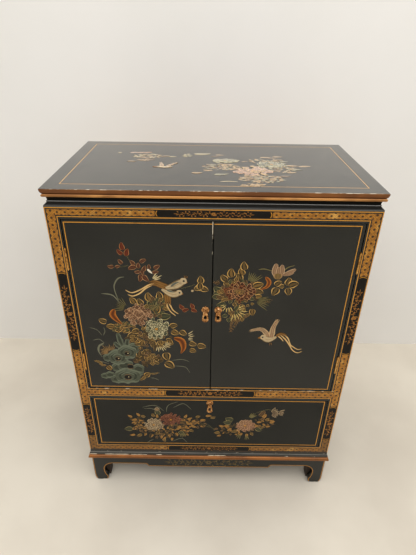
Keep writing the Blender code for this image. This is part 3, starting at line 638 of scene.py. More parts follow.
bands = bmesh.new()
bands.loops.layers.uv.new("lattice")
for side in (-1, 1):
    near, far = sorted(side * edge for edge in stile_band)
    band(bands, (near, band_low), (far, band_high))
    inner_end, outer_end = sorted((side * RAIL_BAND_START, side * stile_band[0]))
    for bottom, top in rail_bands:
        band(bands, (inner_end, bottom), (outer_end, top))
lattice_gilding = dotted_lattice("dotted_lattice_gilding")
add_piece("frame_lattice_bands", bands, lattice_gilding, "case")

frame_lines = front_relief(3)
# The lowest line of the frame is darker than the rest.
frame_lines.frame_line(*outer, LINE, GILT_TONES, DARK_LOWEST_GILT)
for low, high in (DOOR_LINES, DRAWER_LINES):
    frame_lines.frame_line(low, high, LINE, GILT_TONES)
frame_lines.fix("frame_gilt_lines", gilding, "brass", "case")

painting = brushed_paint("coloured_lacquer_painting", 0.0, 0.22)
panels = front_relief(4)
for bottom, top in rail_bands:
    middle = Vector((0, (bottom + top) / 2))
    painted_panel(panels, middle, RAIL_PANEL_REACH, (top - bottom) / 2 + PANEL_OVERLAP, RIGHTWARDS)
stile_half = (stile_band[1] - stile_band[0]) / 2 + PANEL_OVERLAP
for side in (-1, 1):
    for bottom, top in STILE_PANELS:
        middle = Vector((side * sum(stile_band) / 2, (bottom + top) / 2))
        painted_panel(panels, middle, (top - bottom) / 2, stile_half, UPWARDS)
panels.fix("frame_painted_panels", painting, "black_lacquer", "case")


# Neck and top: a black moulding mitred under a board with a bead worked on its lower edge.
# The board's edge is bronze powder paint. Its face is dusty black lacquer, greyed further by a painted
# sheen of reflected light, with a gilt line and a spray of flowers with a bird in flight.
NECKS = ("neck_moulding_front", "neck_moulding_left", "neck_moulding_right")
NECK_FOOT = 0.9811
NECK_OGEE = 0.9848
NECK_LIP = 0.9905
NECK_HIGHLIGHT_GREY = colour(150, 148, 142)
TOP_BEAD_DROP = 0.0167
TOP_DUST_AND_SHEEN = colour(150, 144, 130)
TOP_BROW_HIGHLIGHT = colour(206, 180, 148)
TOP_LINE_INSET = 34.0
TOP_LINE = 1.9
TOP_LINE_TONES = shades((178, 128, 70), (216, 172, 112))
TOP_OCHRE = shades((104, 84, 52), (182, 145, 86), (146, 113, 64))
TOP_GREEN = shades((96, 94, 70), (146, 136, 98), (112, 106, 76))
TOP_PINK = shades((204, 164, 132), (138, 102, 78), (176, 138, 108))
WHITE = shades((212, 200, 158), (92, 88, 64), (156, 146, 110))
WHITE_GREEN = shades((170, 160, 120), (46, 52, 40), (88, 90, 68))
CREAM = shades((190, 172, 126), (112, 100, 68), (158, 144, 100))
BROWN_LEAF = shades((156, 120, 76), (40, 31, 21), (98, 74, 46))
PALE_GRASS = shades((156, 136, 92), (212, 194, 146))
FEATHER = shades((112, 88, 56), (190, 168, 130), (160, 134, 96))
FEATHER_HEAD = shades((190, 168, 130))
FEATHER_WING = shades((204, 170, 124), (146, 108, 78), (184, 148, 108))
FEATHER_GREY = shades((150, 138, 106), (96, 98, 88), (78, 80, 74))
FEATHER_BROWN = shades((70, 46, 18), (124, 86, 40), (160, 118, 62))
STREAMER = shades((160, 118, 62), (218, 182, 122))
BEAK = shades((150, 100, 40))
DARK_EYE = shades((24, 20, 17))


def leaf(relief, at, heading, length, tones, slim=0.8):
    """A leaf with a gilt rim, a dark ring and a paler core, at one of six heights."""
    at = Vector(at)
    ahead = towards(heading) * length / 2
    bow = ahead.orthogonal() * relief.chance.uniform(-0.25, 0.25)
    over = 0.08 * relief.chance.randrange(6)
    relief.stroke((at - ahead, at + bow, at + ahead), length * slim, tones, over=over, core=0.36)


def thicket(relief, middle, reach, count, length, kinds, slim=0.7):
    """Small leaves crowded into an oval, each turned outwards."""
    for step in range(count):
        angle = relief.chance.uniform(0, 2 * pi)
        out = relief.chance.random() ** 0.5
        at = Vector(middle) + out * towards(angle, *reach)
        heading = angle + relief.chance.uniform(-0.8, 0.8)
        size = length * relief.chance.uniform(0.7, 1.25)
        leaf(relief, at, heading, size, kinds[step % len(kinds)], slim)


def round_outline(t):
    return max(0.0, 1.0 - (2 * t - 1) ** 2) ** 0.5


def dab(relief, at, radius, tones, over=0.5):
    """A round dab of paint."""
    at = Vector(at)
    ends = (at - Vector((radius, 0)), at + Vector((radius, 0)))
    relief.stroke(ends, 2 * radius, tones, round_outline, 0.08, 6, over)


PEONY_RINGS = (18, 16, 13, 10, 6)
STAMENS = 6


def peony(relief, heart, radii, kinds, centre_tones=GILT_TONES, lift=0.0):
    """A full flower: rings of ruffled petals, the inner ones over the outer, and a tuft of stamens."""
    heart = Vector(heart)
    size = (radii[0] + radii[1]) / 2
    for ring, count in enumerate(PEONY_RINGS):
        reach = 1.0 - 0.19 * ring
        for petal in range(count):
            angle = 2 * pi * (petal + 0.5 * ring) / count + relief.chance.uniform(-0.15, 0.15)
            out = reach * relief.chance.uniform(0.8, 1.1)
            tip = heart + out * towards(angle, *radii)
            turn = angle + relief.chance.uniform(-0.6, 0.6)
            length = size * relief.chance.uniform(0.32, 0.5)
            root = tip - length * towards(turn)
            over = lift + 0.5 + 0.2 * ring + 0.1 * (petal % 2)
            width = length * relief.chance.uniform(0.55, 0.8)
            tones = relief.chance.choice(kinds)
            relief.stroke((root, tip), width, tones, petal_outline, 0.1, 5, over, 0.79)
    for stamen in range(STAMENS):
        spot = heart + towards(2 * pi * stamen / STAMENS, *radii) * 0.07
        dab(relief, spot, 0.04 * size, centre_tones, lift + 1.5)


def blade(relief, points, tones, width=2.2):
    """A long blade of grass or a stem."""
    relief.stroke(points, width, tones, brush_outline, 0.1, 14)


def wing_outline(t):
    return min(1.0, 0.5 + 2.0 * t) * (1.0 - t) ** 0.6


def body_outline(t):
    return min(1.0, 0.3 + 1.5 * t) * max(0.0, 1.0 - t ** 8) ** 0.5


def side_by_side(points, shift):
    """The same path, moved sideways."""
    points = [Vector(point) for point in points]
    across = (points[-1] - points[0]).orthogonal().normalized() * shift
    return [point + across for point in points]


def wing(relief, points, width, over):
    """A spread wing: a broad tapering shape, with pale quills laid along it."""
    relief.stroke(points, width, FEATHER_WING, wing_outline, 0.12, 12, over)
    for shift in (-0.25, 0.0, 0.25):
        quill = side_by_side(points, shift * width)
        relief.stroke(quill, width * 0.12, FEATHER, brush_outline, 0.08, 10, over + 0.12)


def bird(relief, spine, girth, beak, folded=(), wings=(), tails=(), streamers=(), lift=0.0):
    """A long-tailed bird: streamers first, then the brown tail, the body, the wings and the head."""
    spine = [Vector(point) for point in spine]
    head, nose = spine[-1], Vector(beak)
    for points in streamers:
        relief.stroke(points, girth * 0.22, STREAMER, brush_outline, 0.1, 24, lift + 0.6)
    for points, width in tails:
        for shift in (-0.33, 0.33, 0.0):
            strand = side_by_side(points, shift * width)
            relief.stroke(strand, width * 0.42, FEATHER_BROWN, leaf_outline, 0.1, 10, lift + 0.65)
    for points in wings[1:]:
        wing(relief, points, girth * 0.85, lift + 0.65)
    relief.stroke(spine, girth, FEATHER, body_outline, 0.25, 14, lift + 0.75)
    if folded:
        relief.stroke(folded, girth * 0.3, FEATHER_GREY, leaf_outline, 0.1, 8, lift + 1.0)
    for points in wings[:1]:
        wing(relief, points, girth * 0.92, lift + 1.0)
    relief.stroke((head, nose), girth * 0.34, BEAK, leaf_outline, 0.1, 4, lift + 1.0)
    dab(relief, head, girth * 0.38, FEATHER_HEAD, lift + 1.1)
    eye = head + (nose - head) * 0.1 + Vector((0, girth * 0.04))
    dab(relief, eye, girth * 0.12, DARK_EYE, lift + 1.25)


def top_finish(name, front, surface):
    """Black lacquer over the face, bronze powder paint round the edge, and gesso where it is knocked."""
    material, place = new_finish(name)
    _, y, z = place.axes()
    smears = place.cloud(6.0, 4.0)
    grain = place.cloud(600.0, 3.0)
    face = z.above(surface - 0.0012, surface - 0.0004)
    # The black face turns grey, partly from real dust and partly as a painted sheen of reflected light.
    dust_and_sheen = place.cloud(34.0, 7.0).above(0.25, 0.8) * 0.08 + smears.above(0.4, 0.7) * 0.03
    black = dust_and_sheen.blend(LACQUER_BLACK, TOP_DUST_AND_SHEEN)
    streaks = place.cloud(35.0, 5.0, (0.35, 0.35, 1.0))
    bronze = streaks.above(0.45, 0.9).blend(BRONZE_DARK, BRONZE)
    bead = z.near(surface - TOP_BEAD_DROP, 0.0045).above(0.0, 0.6)
    bronze = (bead * (0.35 + streaks.above(0.35, 0.6) * 0.65)).blend(bronze, BRONZE_LIGHT)
    tint = face.blend(bronze, black)
    brow = y.near(front, 0.003) * z.near(surface - 0.0006, 0.0016)
    # A painted highlight in patches along the brow, where the face meets the bronze edge.
    tint = (brow * streaks.above(0.4, 0.75) * 0.4).blend(tint, TOP_BROW_HIGHLIGHT)
    lost = (place.cloud(70.0, 5.0) * brow).above(0.5, 0.56)
    tint = lost.blend(tint, GESSO)
    rough = face * (smears * 0.06 - 0.2) + grain * 0.08 + 0.28 + lost * 0.4
    ripple = place.cloud(120.0, 2.0) * face + grain * (1 - face)
    metal = (1 - face) * (1 - lost) * 0.35
    lay_on(place, ripple, 0.00005, tint, rough, {"Metallic": metal, "Coat Weight": face * 0.35})
    return material


def neck_lacquer(name):
    """Black lacquer with a painted grey highlight on the moulding's foot and lip. On the ogee and in the
    hollow over the lip it turns to a matt, nearly unreflecting coat as painted shade."""
    material, place = new_finish(name)
    height = place.axes()[2]
    smears = place.cloud(9.0, 4.0)
    ripple = place.node("Bump", {}, {"Height": place.cloud(140.0, 2.0), "Distance": 0.00004})
    # Painted highlights: grey bands on the moulding's foot and lip.
    bead = height.near(NECK_LIP, 0.0018).either(height.near(NECK_FOOT, 0.0018))
    glossy_with_highlight = place.node("BsdfPrincipled", {}, {
        "Base Color": (bead * 0.4).blend(LACQUER_BLACK, NECK_HIGHLIGHT_GREY),
        "Roughness": 0.08 + smears * 0.1, "Normal": ripple, "Coat Weight": 0.35 + bead * 0.65})
    matt_painted_shade = place.node("BsdfPrincipled", {}, {
        "Base Color": smears.above(0.3, 0.8).blend(INK, LACQUER_BLACK),
        "Roughness": 0.5, "Specular IOR Level": 0.06})
    # Painted shade: the hollow over the lip and the ogee take the matt, nearly unreflecting coat.
    hollow = height.above(NECK_LIP + 0.0007, NECK_LIP + 0.0022)
    ogee = height.near(NECK_OGEE, 0.0042).above(0.1, 0.5) * 0.8
    mixed = place.node("MixShader", {}, {0: hollow.either(ogee), 1: glossy_with_highlight, 2: matt_painted_shade})
    place.node("OutputMaterial", {}, {"Surface": mixed}, None)
    return material


top_low, top_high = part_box("top_board")
dress(neck_lacquer("neck_lacquer"), "black_lacquer", 0, *NECKS)
top_lacquer = top_finish("top_lacquer_and_bronze", top_low.y, top_high.z)
dress(top_lacquer, "black_lacquer", 0, "top_board")

top_corner = Vector((top_low.x, top_low.y, top_high.z))
top_size = (top_high - top_low) * 1000
top_line = Relief(top_corner, ACROSS, BACK, 5)
top_line.frame_line((TOP_LINE_INSET + 2, TOP_LINE_INSET + 1),
                    (top_size.x - TOP_LINE_INSET - 2, top_size.y - TOP_LINE_INSET),
                    TOP_LINE, TOP_LINE_TONES)
top_line.fix("top_gilt_line", gilding, "brass", "case")

TOP_THICKETS = (
    ((210, 285), (46, 22), 84, 10, (TOP_OCHRE, CREAM, BROWN_LEAF), 0.55),
    ((207, 246), (24, 10), 26, 10, (TOP_OCHRE, BROWN_LEAF), 0.55),
    ((313, 296), (12, 14), 15, 11, (CREAM, TOP_GREEN), 0.55),
    ((404, 192), (48, 28), 130, 11, (TOP_OCHRE, TOP_GREEN, BROWN_LEAF, TOP_OCHRE), 0.55),
    ((520, 250), (62, 20), 64, 11, (TOP_GREEN, TOP_OCHRE), 0.5),
    ((498, 98), (54, 30), 150, 11, (TOP_OCHRE, TOP_GREEN, TOP_OCHRE, BROWN_LEAF), 0.5),
    ((476, 50), (28, 10), 32, 11, (TOP_OCHRE,), 0.5),
    ((560, 180), (34, 30), 64, 11, (TOP_OCHRE, TOP_GREEN, BROWN_LEAF), 0.5))
TOP_LEAVES = (
    ((165, 317), 26, TOP_PINK), ((185, 319), 26, TOP_PINK), ((203, 320), 22, TOP_PINK),
    ((171, 229), 24, TOP_OCHRE), ((274, 279), 22, CREAM), ((258, 287), 20, TOP_OCHRE),
    ((403, 303), 26, TOP_OCHRE), ((390, 292), 22, BROWN_LEAF), ((345, 138), 28, TOP_OCHRE),
    ((372, 160), 26, TOP_OCHRE), ((404, 129), 38, TOP_GREEN), ((588, 208), 34, TOP_OCHRE),
    ((620, 204), 34, TOP_OCHRE), ((578, 151), 26, TOP_OCHRE), ((558, 121), 26, BROWN_LEAF),
    ((596, 172), 24, TOP_GREEN), ((527, 287), 30, TOP_OCHRE), ((562, 293), 30, TOP_OCHRE),
    ((545, 279), 26, BROWN_LEAF), ((355, 316), 48, CREAM))

top_painting = brushed_paint("top_flower_paint", 0.0, 0.14, 0.5, 1.0)
top_spray = Relief(top_corner + Vector((-0.0025, -0.0058, 0)), ACROSS, BACK, 6)
for crowd in TOP_THICKETS:
    thicket(top_spray, *crowd)
for at, length, tones in TOP_LEAVES:
    leaf(top_spray, at, top_spray.chance.uniform(-0.2, 0.2), length, tones, 0.38)
blade(top_spray, ((398, 72), (420, 76), (442, 72)), PALE_GRASS, 4)
peony(top_spray, (535, 214), (42, 30), (WHITE, WHITE_GREEN))
peony(top_spray, (483, 162), (50, 40), (TOP_PINK, TOP_PINK, TOP_OCHRE))
peony(top_spray, (416, 246), (38, 22), (WHITE, WHITE_GREEN))
dab(top_spray, (124, 315), 5, CREAM)
bird(top_spray, ((281, 182), (262, 181), (247, 184)), 14, (231, 183),
     wings=(((254, 188), (251, 206), (247, 222)), ((266, 186), (278, 206), (291, 223))))
top_spray.fix("top_flower_painting", top_painting, "black_lacquer", "case")


# Hinges and catch: brass butt hinges let into the stiles and doors, rolled and pressed, and dulled by
# handling. A black twin magnet catch sits under the top rail, and draws a steel plate on the back of
# each door.
def aged_metal(name, dark, middle, light, gloss=0.26):
    """Cast or rolled metal, in dark, middle and light patches of tarnish that lie at random."""
    material, place = new_finish(name)
    tarnish = place.cloud(180.0, 5.0)
    pits = place.cloud(900.0, 3.0)
    tint = tarnish.above(0.3, 0.55).blend(colour(*dark), colour(*middle))
    tint = tarnish.above(0.55, 0.75).blend(tint, colour(*light))
    lay_on(place, pits, 0.00006, tint, gloss + tarnish * 0.2, {"Metallic": 0.85})
    return material


HINGES = [f"{side}_{level}_hinge_" for side in ("left", "right") for level in ("lower", "upper")]
HINGE_PARTS = [hinge + part for hinge in HINGES for part in ("frame_leaf", "door_leaf", "pin")]
hinge_brass = aged_metal("hinge_brass", (120, 76, 30), (214, 160, 84), (240, 204, 138))
dress(hinge_brass, "brass", 0, *HINGE_PARTS)
plate_steel = aged_metal("plate_steel", (70, 66, 62), (120, 116, 110), (160, 156, 150))
dress(plate_steel, "steel", 0, "left_catch_plate", "right_catch_plate")
dress(cupboard_coat, "inner_paint", 0.0004, "door_catch")


# Doors: flat lacquered boards, each with a gilt line on three sides and none at the meeting edge.
# Raised flowers, birds and a pierced garden rock are built up in gesso, coloured and gilt.
DOOR_LINE_SIDES = {-1: -342.0, 1: 337.8}
DOOR_LINE_LOW = 433.2
DOOR_LINE_HIGH = 943.2
MEETING_GAP = 1.8
PINK = shades((190, 152, 114), (112, 78, 54), (146, 108, 78))
PINK_DEEP = shades((164, 126, 92), (80, 52, 34), (116, 80, 54))
MAROON = shades((138, 86, 50), (62, 28, 18), (92, 48, 30))
MAROON_LIGHT = shades((180, 132, 88), (50, 25, 17), (92, 54, 36))
GOLD_LEAF = shades((204, 162, 92), (34, 31, 22), (94, 75, 43))
OCHRE_LEAF = shades((190, 150, 82), (42, 36, 24), (118, 90, 47))
SHADE_LEAF = shades((112, 88, 52), (42, 36, 24), (70, 56, 34))
GREEN_LEAF = shades((146, 132, 84), (36, 40, 30), (70, 70, 47))
RED_LEAF = shades((172, 112, 66), (74, 24, 13), (102, 44, 25))
ORANGE = shades((188, 116, 46), (146, 80, 28), (92, 46, 18))
GRASS = shades((86, 88, 70), (116, 114, 92))
FERN = shades((46, 44, 30), (116, 106, 66))
YELLOW = shades((110, 88, 40), (226, 198, 122))
TULIP = shades((194, 162, 126), (132, 101, 74), (160, 128, 96))
TULIP_BASE = shades((166, 130, 84), (112, 88, 50), (132, 102, 60))
ROCK = shades((106, 112, 92), (76, 80, 64), (80, 84, 68))
ROCK_HOLLOW = shades((96, 102, 84), (54, 58, 46), (62, 66, 52))
HOLE = shades((112, 88, 58), (22, 20, 17))


def door_wear_and_highlight(x, _y, z):
    # Near the top of the meeting edge the gesso line is partly wear and partly a painted highlight. The
    # outer edges show wear.
    meeting = x.near(-0.0015, 0.0016) * (z.above(0.856, 0.864) + z.above(0.915, 0.925) * 3.0)
    return meeting.either(abs(x).near(0.3474, 0.001))


door_lacquer = black_lacquer("door_lacquer", door_wear_and_highlight, 0.41)
dress(door_lacquer, "black_lacquer", 0.0003, "left_door", "right_door")

for side, name in ((-1, "left_door"), (1, "right_door")):
    lines = front_relief(7)
    edge = DOOR_LINE_SIDES[side]
    for height in (DOOR_LINE_LOW, DOOR_LINE_HIGH):
        ends = (side * MEETING_GAP, height), (edge + side * half_line, height)
        lines.rule(*ends, LINE, GILT_TONES)
    lines.rule((edge, DOOR_LINE_LOW), (edge, DOOR_LINE_HIGH), LINE, GILT_TONES)
    lines.fix(name + "_gilt_lines", gilding, "brass", name)


def leaves(relief, heart, places, length, kinds, slim=0.8):
    """Leaves that turn away from the heart of their spray."""
    for step, at in enumerate(places):
        heading = atan2(at[1] - heart[1], at[0] - heart[0]) + relief.chance.uniform(-0.5, 0.5)
        size = length * relief.chance.uniform(0.85, 1.15)
        leaf(relief, at, heading, size, kinds[step % len(kinds)], slim)


def tuft(relief, root, heading, spread, length, count, tones, width=2.4, start=0.3, over=0.45):
    """Narrow blades that fan out round one root, from a part of their length on."""
    root = Vector(root)
    for step in range(count):
        angle = heading + spread * (step / (count - 1) - 0.5)
        way = towards(angle) * length * relief.chance.uniform(0.8, 1.1)
        ends = (root + start * way, root + way)
        relief.stroke(ends, width, tones, leaf_outline, 0.1, 5, over + 0.03 * step)


def lobe_outline(t):
    return round_outline(t) * (0.92 + 0.08 * cos(14 * t))


def rock_lobe(relief, at, radii, turn, over, pierced):
    """A worn lobe of a garden rock, with ridges round it, and a hole through it where it is pierced."""
    at = Vector(at)
    way = towards(turn)
    for ring, shrink in enumerate((1.0, 0.72, 0.5) if pierced else (1.0, 0.66)):
        reach = way * radii[0] * shrink
        bow = way.orthogonal() * radii[1] * 0.15
        tones = ROCK_HOLLOW if ring % 2 else ROCK
        relief.stroke((at - reach, at + bow, at + reach), 2 * radii[1] * shrink, tones,
                      lobe_outline, 0.05, 14, over + 0.06 * ring)
    if pierced:
        dab(relief, at, 0.3 * radii[0], HOLE, over + 0.25)
        # Painted glint: a pale dab in each hole.
        dab(relief, at + Vector((2, 1)), 1.7, PALE_GRASS, over + 0.4)


left = front_relief(8, "left_door")
LEFT_GRASS = (
    (((132, 374), (118, 371), (108, 358), (104, 338), (113, 298)), 4.4),
    (((70, 325), (98, 320), (114, 295)), 4.4), (((27, 218), (46, 210), (57, 192)), 2.2),
    (((30, 175), (48, 179), (60, 166)), 2.2), (((43, 132), (46, 156), (60, 160)), 2.2),
    (((240, 108), (268, 112), (289, 104)), 2.2), (((246, 88), (277, 84), (290, 62)), 2.2),
    (((176, 54), (190, 60), (205, 60)), 2.2), (((178, 42), (190, 40), (201, 33)), 2.2),
    (((36, 102), (52, 98), (66, 92)), 2.2), (((60, 192), (66, 206), (64, 220)), 2.2))
for points, width in LEFT_GRASS:
    blade(left, points, GRASS, width)
SOLID_LOBES = (
    ((90, 76), (18, 20), 0), ((130, 64), (30, 22), 0), ((52, 46), (15, 11), 0),
    ((64, 112), (13, 15), 0), ((109, 84), (22, 24), 0), ((146, 72), (15, 20), 0),
    ((64, 50), (13, 13), 0), ((86, 34), (22, 18), 0), ((138, 146), (15, 20), 0),
    ((104, 178), (24, 8), 1.8), ((122, 166), (16, 7), 1.4), ((96, 160), (14, 7), 2.3))
PIERCED_LOBES = (((114, 44), (36, 31), 0), ((92, 112), (26, 30), 0), ((119, 131), (25, 27), 0))
for step, (at, radii, turn) in enumerate(SOLID_LOBES + PIERCED_LOBES):
    rock_lobe(left, at, radii, turn, 0.04 * step, step >= len(SOLID_LOBES))
dab(left, (124, 84), 9, HOLE, 0.8)
left.stroke(((60, 167), (46, 157), (41, 140), (49, 116)), 6, GRASS, leaf_outline, 0.1, 10)
tuft(left, (76, 132), 2.2, 2.2, 32, 12, TULIP_BASE)

LEFT_THICKETS = (
    ((182, 182), (60, 44), 104, 13, (OCHRE_LEAF, SHADE_LEAF, GOLD_LEAF, BROWN_LEAF, SHADE_LEAF)),
    ((176, 112), (40, 26), 52, 13, (BROWN_LEAF, SHADE_LEAF, OCHRE_LEAF, SHADE_LEAF, GOLD_LEAF)),
    ((112, 222), (32, 20), 30, 13, (OCHRE_LEAF, GREEN_LEAF, GOLD_LEAF)),
    ((204, 285), (34, 30), 40, 13, (GREEN_LEAF, OCHRE_LEAF, BROWN_LEAF)))
for crowd in LEFT_THICKETS:
    thicket(left, *crowd)
bouquet = (175, 225)
leaves(left, bouquet, (
    (64, 241), (82, 222), (100, 216), (123, 208), (133, 194), (147, 206), (140, 180), (162, 166),
    (190, 164), (212, 168), (150, 128), (172, 118), (196, 112), (145, 304), (166, 302), (188, 318),
    (213, 321), (206, 280), (249, 226), (252, 205), (274, 205), (240, 172), (299, 168), (298, 143),
    (322, 158)), 22, (GOLD_LEAF, OCHRE_LEAF))
leaves(left, bouquet, ((227, 122), (233, 90), (228, 259), (196, 300)), 30,
       (GOLD_LEAF, GOLD_LEAF, GREEN_LEAF, GREEN_LEAF))
for at, heading, length, slim in (
        ((36, 97), 2.7, 26, 0.3), ((47, 89), 2.9, 20, 0.3), ((64, 76), -1.0, 18, 0.9),
        ((170, 54), 0.8, 20, 0.9), ((155, 40), 3.9, 24, 0.4), ((190, 60), 0.2, 26, 0.2)):
    leaf(left, at, heading, length, OCHRE_LEAF, slim)
tuft(left, (134, 278), 2.6, 1.3, 40, 8, FERN)
tuft(left, (206, 268), 1.9, 1.2, 40, 8, FERN)
tuft(left, (266, 184), 0.3, 0.8, 40, 5, PALE_GRASS, 2.4, 0.6)
tuft(left, (206, 172), -0.95, 1.7, 34, 9, PALE_GRASS, 2.6, 0.5)
for points, width in ((((99, 278), (92, 262), (100, 246), (115, 230)), 17),
                      (((247, 187), (268, 178), (273, 154), (265, 133)), 18)):
    left.stroke(points, width, ORANGE, leaf_outline, 0.2, 12, 0.55, core=0.4)
peony(left, (158, 261), (38, 35), (PINK, PINK_DEEP), PINK_DEEP)
peony(left, (203, 217), (34, 38), (WHITE, WHITE_GREEN))

blade(left, ((162, 404), (150, 419), (142, 431), (135, 438)), GREEN_LEAF)
blade(left, ((146, 407), (128, 402), (110, 404)), GREEN_LEAF)
MAROON_SPRAY = (
    ((134, 458), 1.7, 21), ((127, 443), 2.3, 18), ((144, 442), 1.3, 21), ((126, 417), 2.2, 16),
    ((101, 404), 3.1, 16), ((119, 402), 0.3, 13), ((154, 414), 2.2, 17), ((153, 399), 3.5, 22),
    ((169, 407), 1.6, 16), ((181, 419), 0.5, 18), ((182, 399), 1.2, 17), ((164, 390), 3.3, 15),
    ((170, 372), -1.8, 22), ((185, 372), -0.9, 22), ((195, 404), 1.6, 14), ((213, 403), 0.6, 18),
    ((209, 389), 0.2, 16), ((176, 387), -1.2, 14))
RED_TIP_FROM = 430
for at, heading, length in MAROON_SPRAY:
    leaf(left, at, heading, length, RED_LEAF if at[1] > RED_TIP_FROM else MAROON_LIGHT, 0.6)
tuft(left, (196, 364), 0.65, 0.7, 30, 4, PALE_GRASS, 3)
left.stroke(((189, 397), (201, 385)), 5.5, (GESSO,) * 3, leaf_outline, 0.15, 6, 0.7)

blade(left, ((269, 342), (287, 348), (306, 356)), GREEN_LEAF, 2.6)
for at, heading in (((318, 369), 1.6), ((312, 344), 3.6), ((328, 342), -0.4), ((318, 352), 1.6)):
    leaf(left, at, heading, 22, GOLD_LEAF)
dab(left, (298, 337), 3.5, FEATHER)
for at, heading in (((271, 289), 2.2), ((281, 277), 0.4), ((297, 291), 2.0), ((302, 277), -0.5)):
    leaf(left, at, heading, 18, RED_LEAF, 0.6)
bird(left, ((232, 344), (256, 352), (276, 365)), 23, (286, 360), ((244, 348), (255, 358), (267, 363)),
     tails=((((240, 345), (222, 352), (205, 359), (188, 354)), 17),),
     streamers=(((205, 357), (190, 352), (170, 339), (147, 329), (131, 337)),
                ((200, 352), (182, 342), (166, 327), (148, 319), (136, 324))))
bird(left, ((222, 341), (238, 330), (253, 326), (265, 331)), 20, (275, 327),
     ((234, 339), (244, 335), (255, 333)),
     tails=((((234, 327), (236, 311), (237, 292)), 16),),
     streamers=(((234, 298), (234, 290), (242, 273), (255, 260)),
                ((240, 298), (242, 292), (249, 277), (262, 266))), lift=0.35)
tuft(left, (281, 370), 1.4, 0.9, 13, 3, FEATHER_BROWN, 1.6)
left.fix("left_door_painting", painting, "black_lacquer", "left_door")

right = front_relief(9, "right_door")
spray = (67, 334)
RIGHT_THICKETS = (
    ((66, 330), (52, 44), 104, 13, (OCHRE_LEAF, SHADE_LEAF, GREEN_LEAF, GOLD_LEAF, BROWN_LEAF)),
    ((64, 266), (30, 22), 30, 13, (OCHRE_LEAF, GREEN_LEAF, BROWN_LEAF)))
for crowd in RIGHT_THICKETS:
    thicket(right, *crowd)
leaves(right, spray, (
    (28, 376), (46, 390), (63, 378), (71, 394), (76, 410), (113, 355), (114, 335), (104, 274)),
    24, (GOLD_LEAF, OCHRE_LEAF))
leaves(right, spray, ((15, 342), (9, 318), (22, 298), (12, 330)), 24, (GREEN_LEAF,))
for step in range(6):
    for side in (-1, 1):
        at = (60 - 2 * step + side * (7 - step), 248 - 7 * step)
        leaf(right, at, -1.6 + side * 0.7, 13 - step, BROWN_LEAF, 0.45)
leaves(right, (66, 300), ((32, 262), (44, 248)), 15, (GREEN_LEAF,))
tuft(right, (86, 356), 1.05, 0.9, 42, 7, FERN, 3)
tuft(right, (100, 314), -0.25, 0.9, 50, 7, FERN, 3)
tuft(right, (104, 322), -0.4, 0.4, 46, 3, BROWN_LEAF, 3, 0.5)
tuft(right, (18, 352), 2.2, 0.8, 22, 5, BROWN_LEAF)
tuft(right, (56, 280), -0.6, 2.3, 33, 8, YELLOW, 2.4, 0.4)
tuft(right, (40, 300), -1.9, 1.7, 26, 6, YELLOW, 2.4, 0.45)
peony(right, spray, (42, 31), (MAROON, MAROON_LIGHT))
peony(right, (66, 336), (15, 9), (BROWN_LEAF, OCHRE_LEAF), lift=0.9)
crescent = ((128, 380), (138, 367), (134, 352), (117, 343))
right.stroke(crescent, 11, ORANGE, leaf_outline, 0.2, 12, 0.55, core=0.3)
blade(right, ((110, 400), (124, 402), (146, 396)), FERN, 4)
blade(right, ((170, 396), (180, 407), (196, 413)), FERN, 4)
TULIP_PETALS = (
    ((156, 377), (149, 394), (152, 418), 14), ((160, 377), (167, 394), (165, 415), 12),
    ((158, 377), (158, 392), (158, 409), 12), ((169, 387), (183, 393), (200, 403), 10),
    ((172, 385), (185, 388), (196, 394), 6))
for step, (root, belly, tip, width) in enumerate(TULIP_PETALS):
    right.stroke((root, belly, tip), width, TULIP, petal_outline, 0.15, 10, 0.6 + 0.05 * step)
right.stroke(((158, 374), (158, 381), (158, 391)), 21, TULIP_BASE, body_outline, 0.15, 8, 0.85)
for at, heading, length in (
        ((162, 361), 0.6, 20), ((155, 338), -2.0, 25), ((184, 368), 1.4, 23),
        ((200, 358), 0.3, 25), ((187, 338), -1.4, 22), ((170, 352), 3.4, 14)):
    leaf(right, at, heading, length, GOLD_LEAF, 0.85)
bird(right, ((172, 196), (158, 188), (147, 187), (137, 194)), 20, (123, 191),
     wings=(((159, 194), (161, 226), (171, 254)), ((151, 197), (131, 220), (99, 215))),
     tails=((((170, 198), (184, 206), (200, 200)), 9),),
     streamers=(((182, 205), (191, 203), (203, 192), (212, 170), (220, 163), (233, 154), (244, 156)),
                ((180, 203), (187, 198), (199, 185), (211, 166), (220, 151), (234, 142), (246, 148)),
                ((176, 198), (184, 192), (192, 181))))
tuft(right, (158, 180), -1.5, 0.5, 15, 2, FEATHER_BROWN, 2)
right.fix("right_door_painting", painting, "black_lacquer", "right_door")


# Pulls: a cast brass rosette with an eye on each door and on the drawer, and a pierced drop that hangs
# from it. Fingers have worn the high places bright.
PULLS = ("left", "right", "drawer")
pull_brass = aged_metal("pull_brass", (96, 60, 34), (186, 132, 78), (250, 212, 160), 0.16)
dress(pull_brass, "brass", 0, *[pull + part for pull in PULLS for part in ("_pull_plate", "_pull_drop")])


# Drawer: a lacquered front on a dovetailed softwood box with a thin bottom, which slides on two runners.
# The front has a gilt line on all four sides, and two sprays of raised flowers.
DRAWER_LINE = ((-340.0, 188.5), (338.4, 381.6))
GILT_LEAF = shades((92, 68, 36), (182, 134, 68), (132, 94, 46))
RED_PETAL = shades((150, 98, 72), (88, 48, 32), (122, 74, 52))
RED_PETAL_DARK = shades((128, 78, 56), (70, 36, 24), (100, 58, 40))
PEACH = shades((194, 148, 114), (112, 78, 56), (154, 114, 86))
IVORY = shades((200, 174, 134), (88, 72, 54), (146, 122, 92))
dress(black_lacquer("drawer_lacquer", knocked_front, 0.26), "black_lacquer", 0.0008, "drawer_front")
dress(side_wood, "plain_wood", 0.0004, "drawer_left_side", "drawer_right_side")
dress(cross_wood, "plain_wood", 0.0004, "drawer_back", "drawer_bottom")

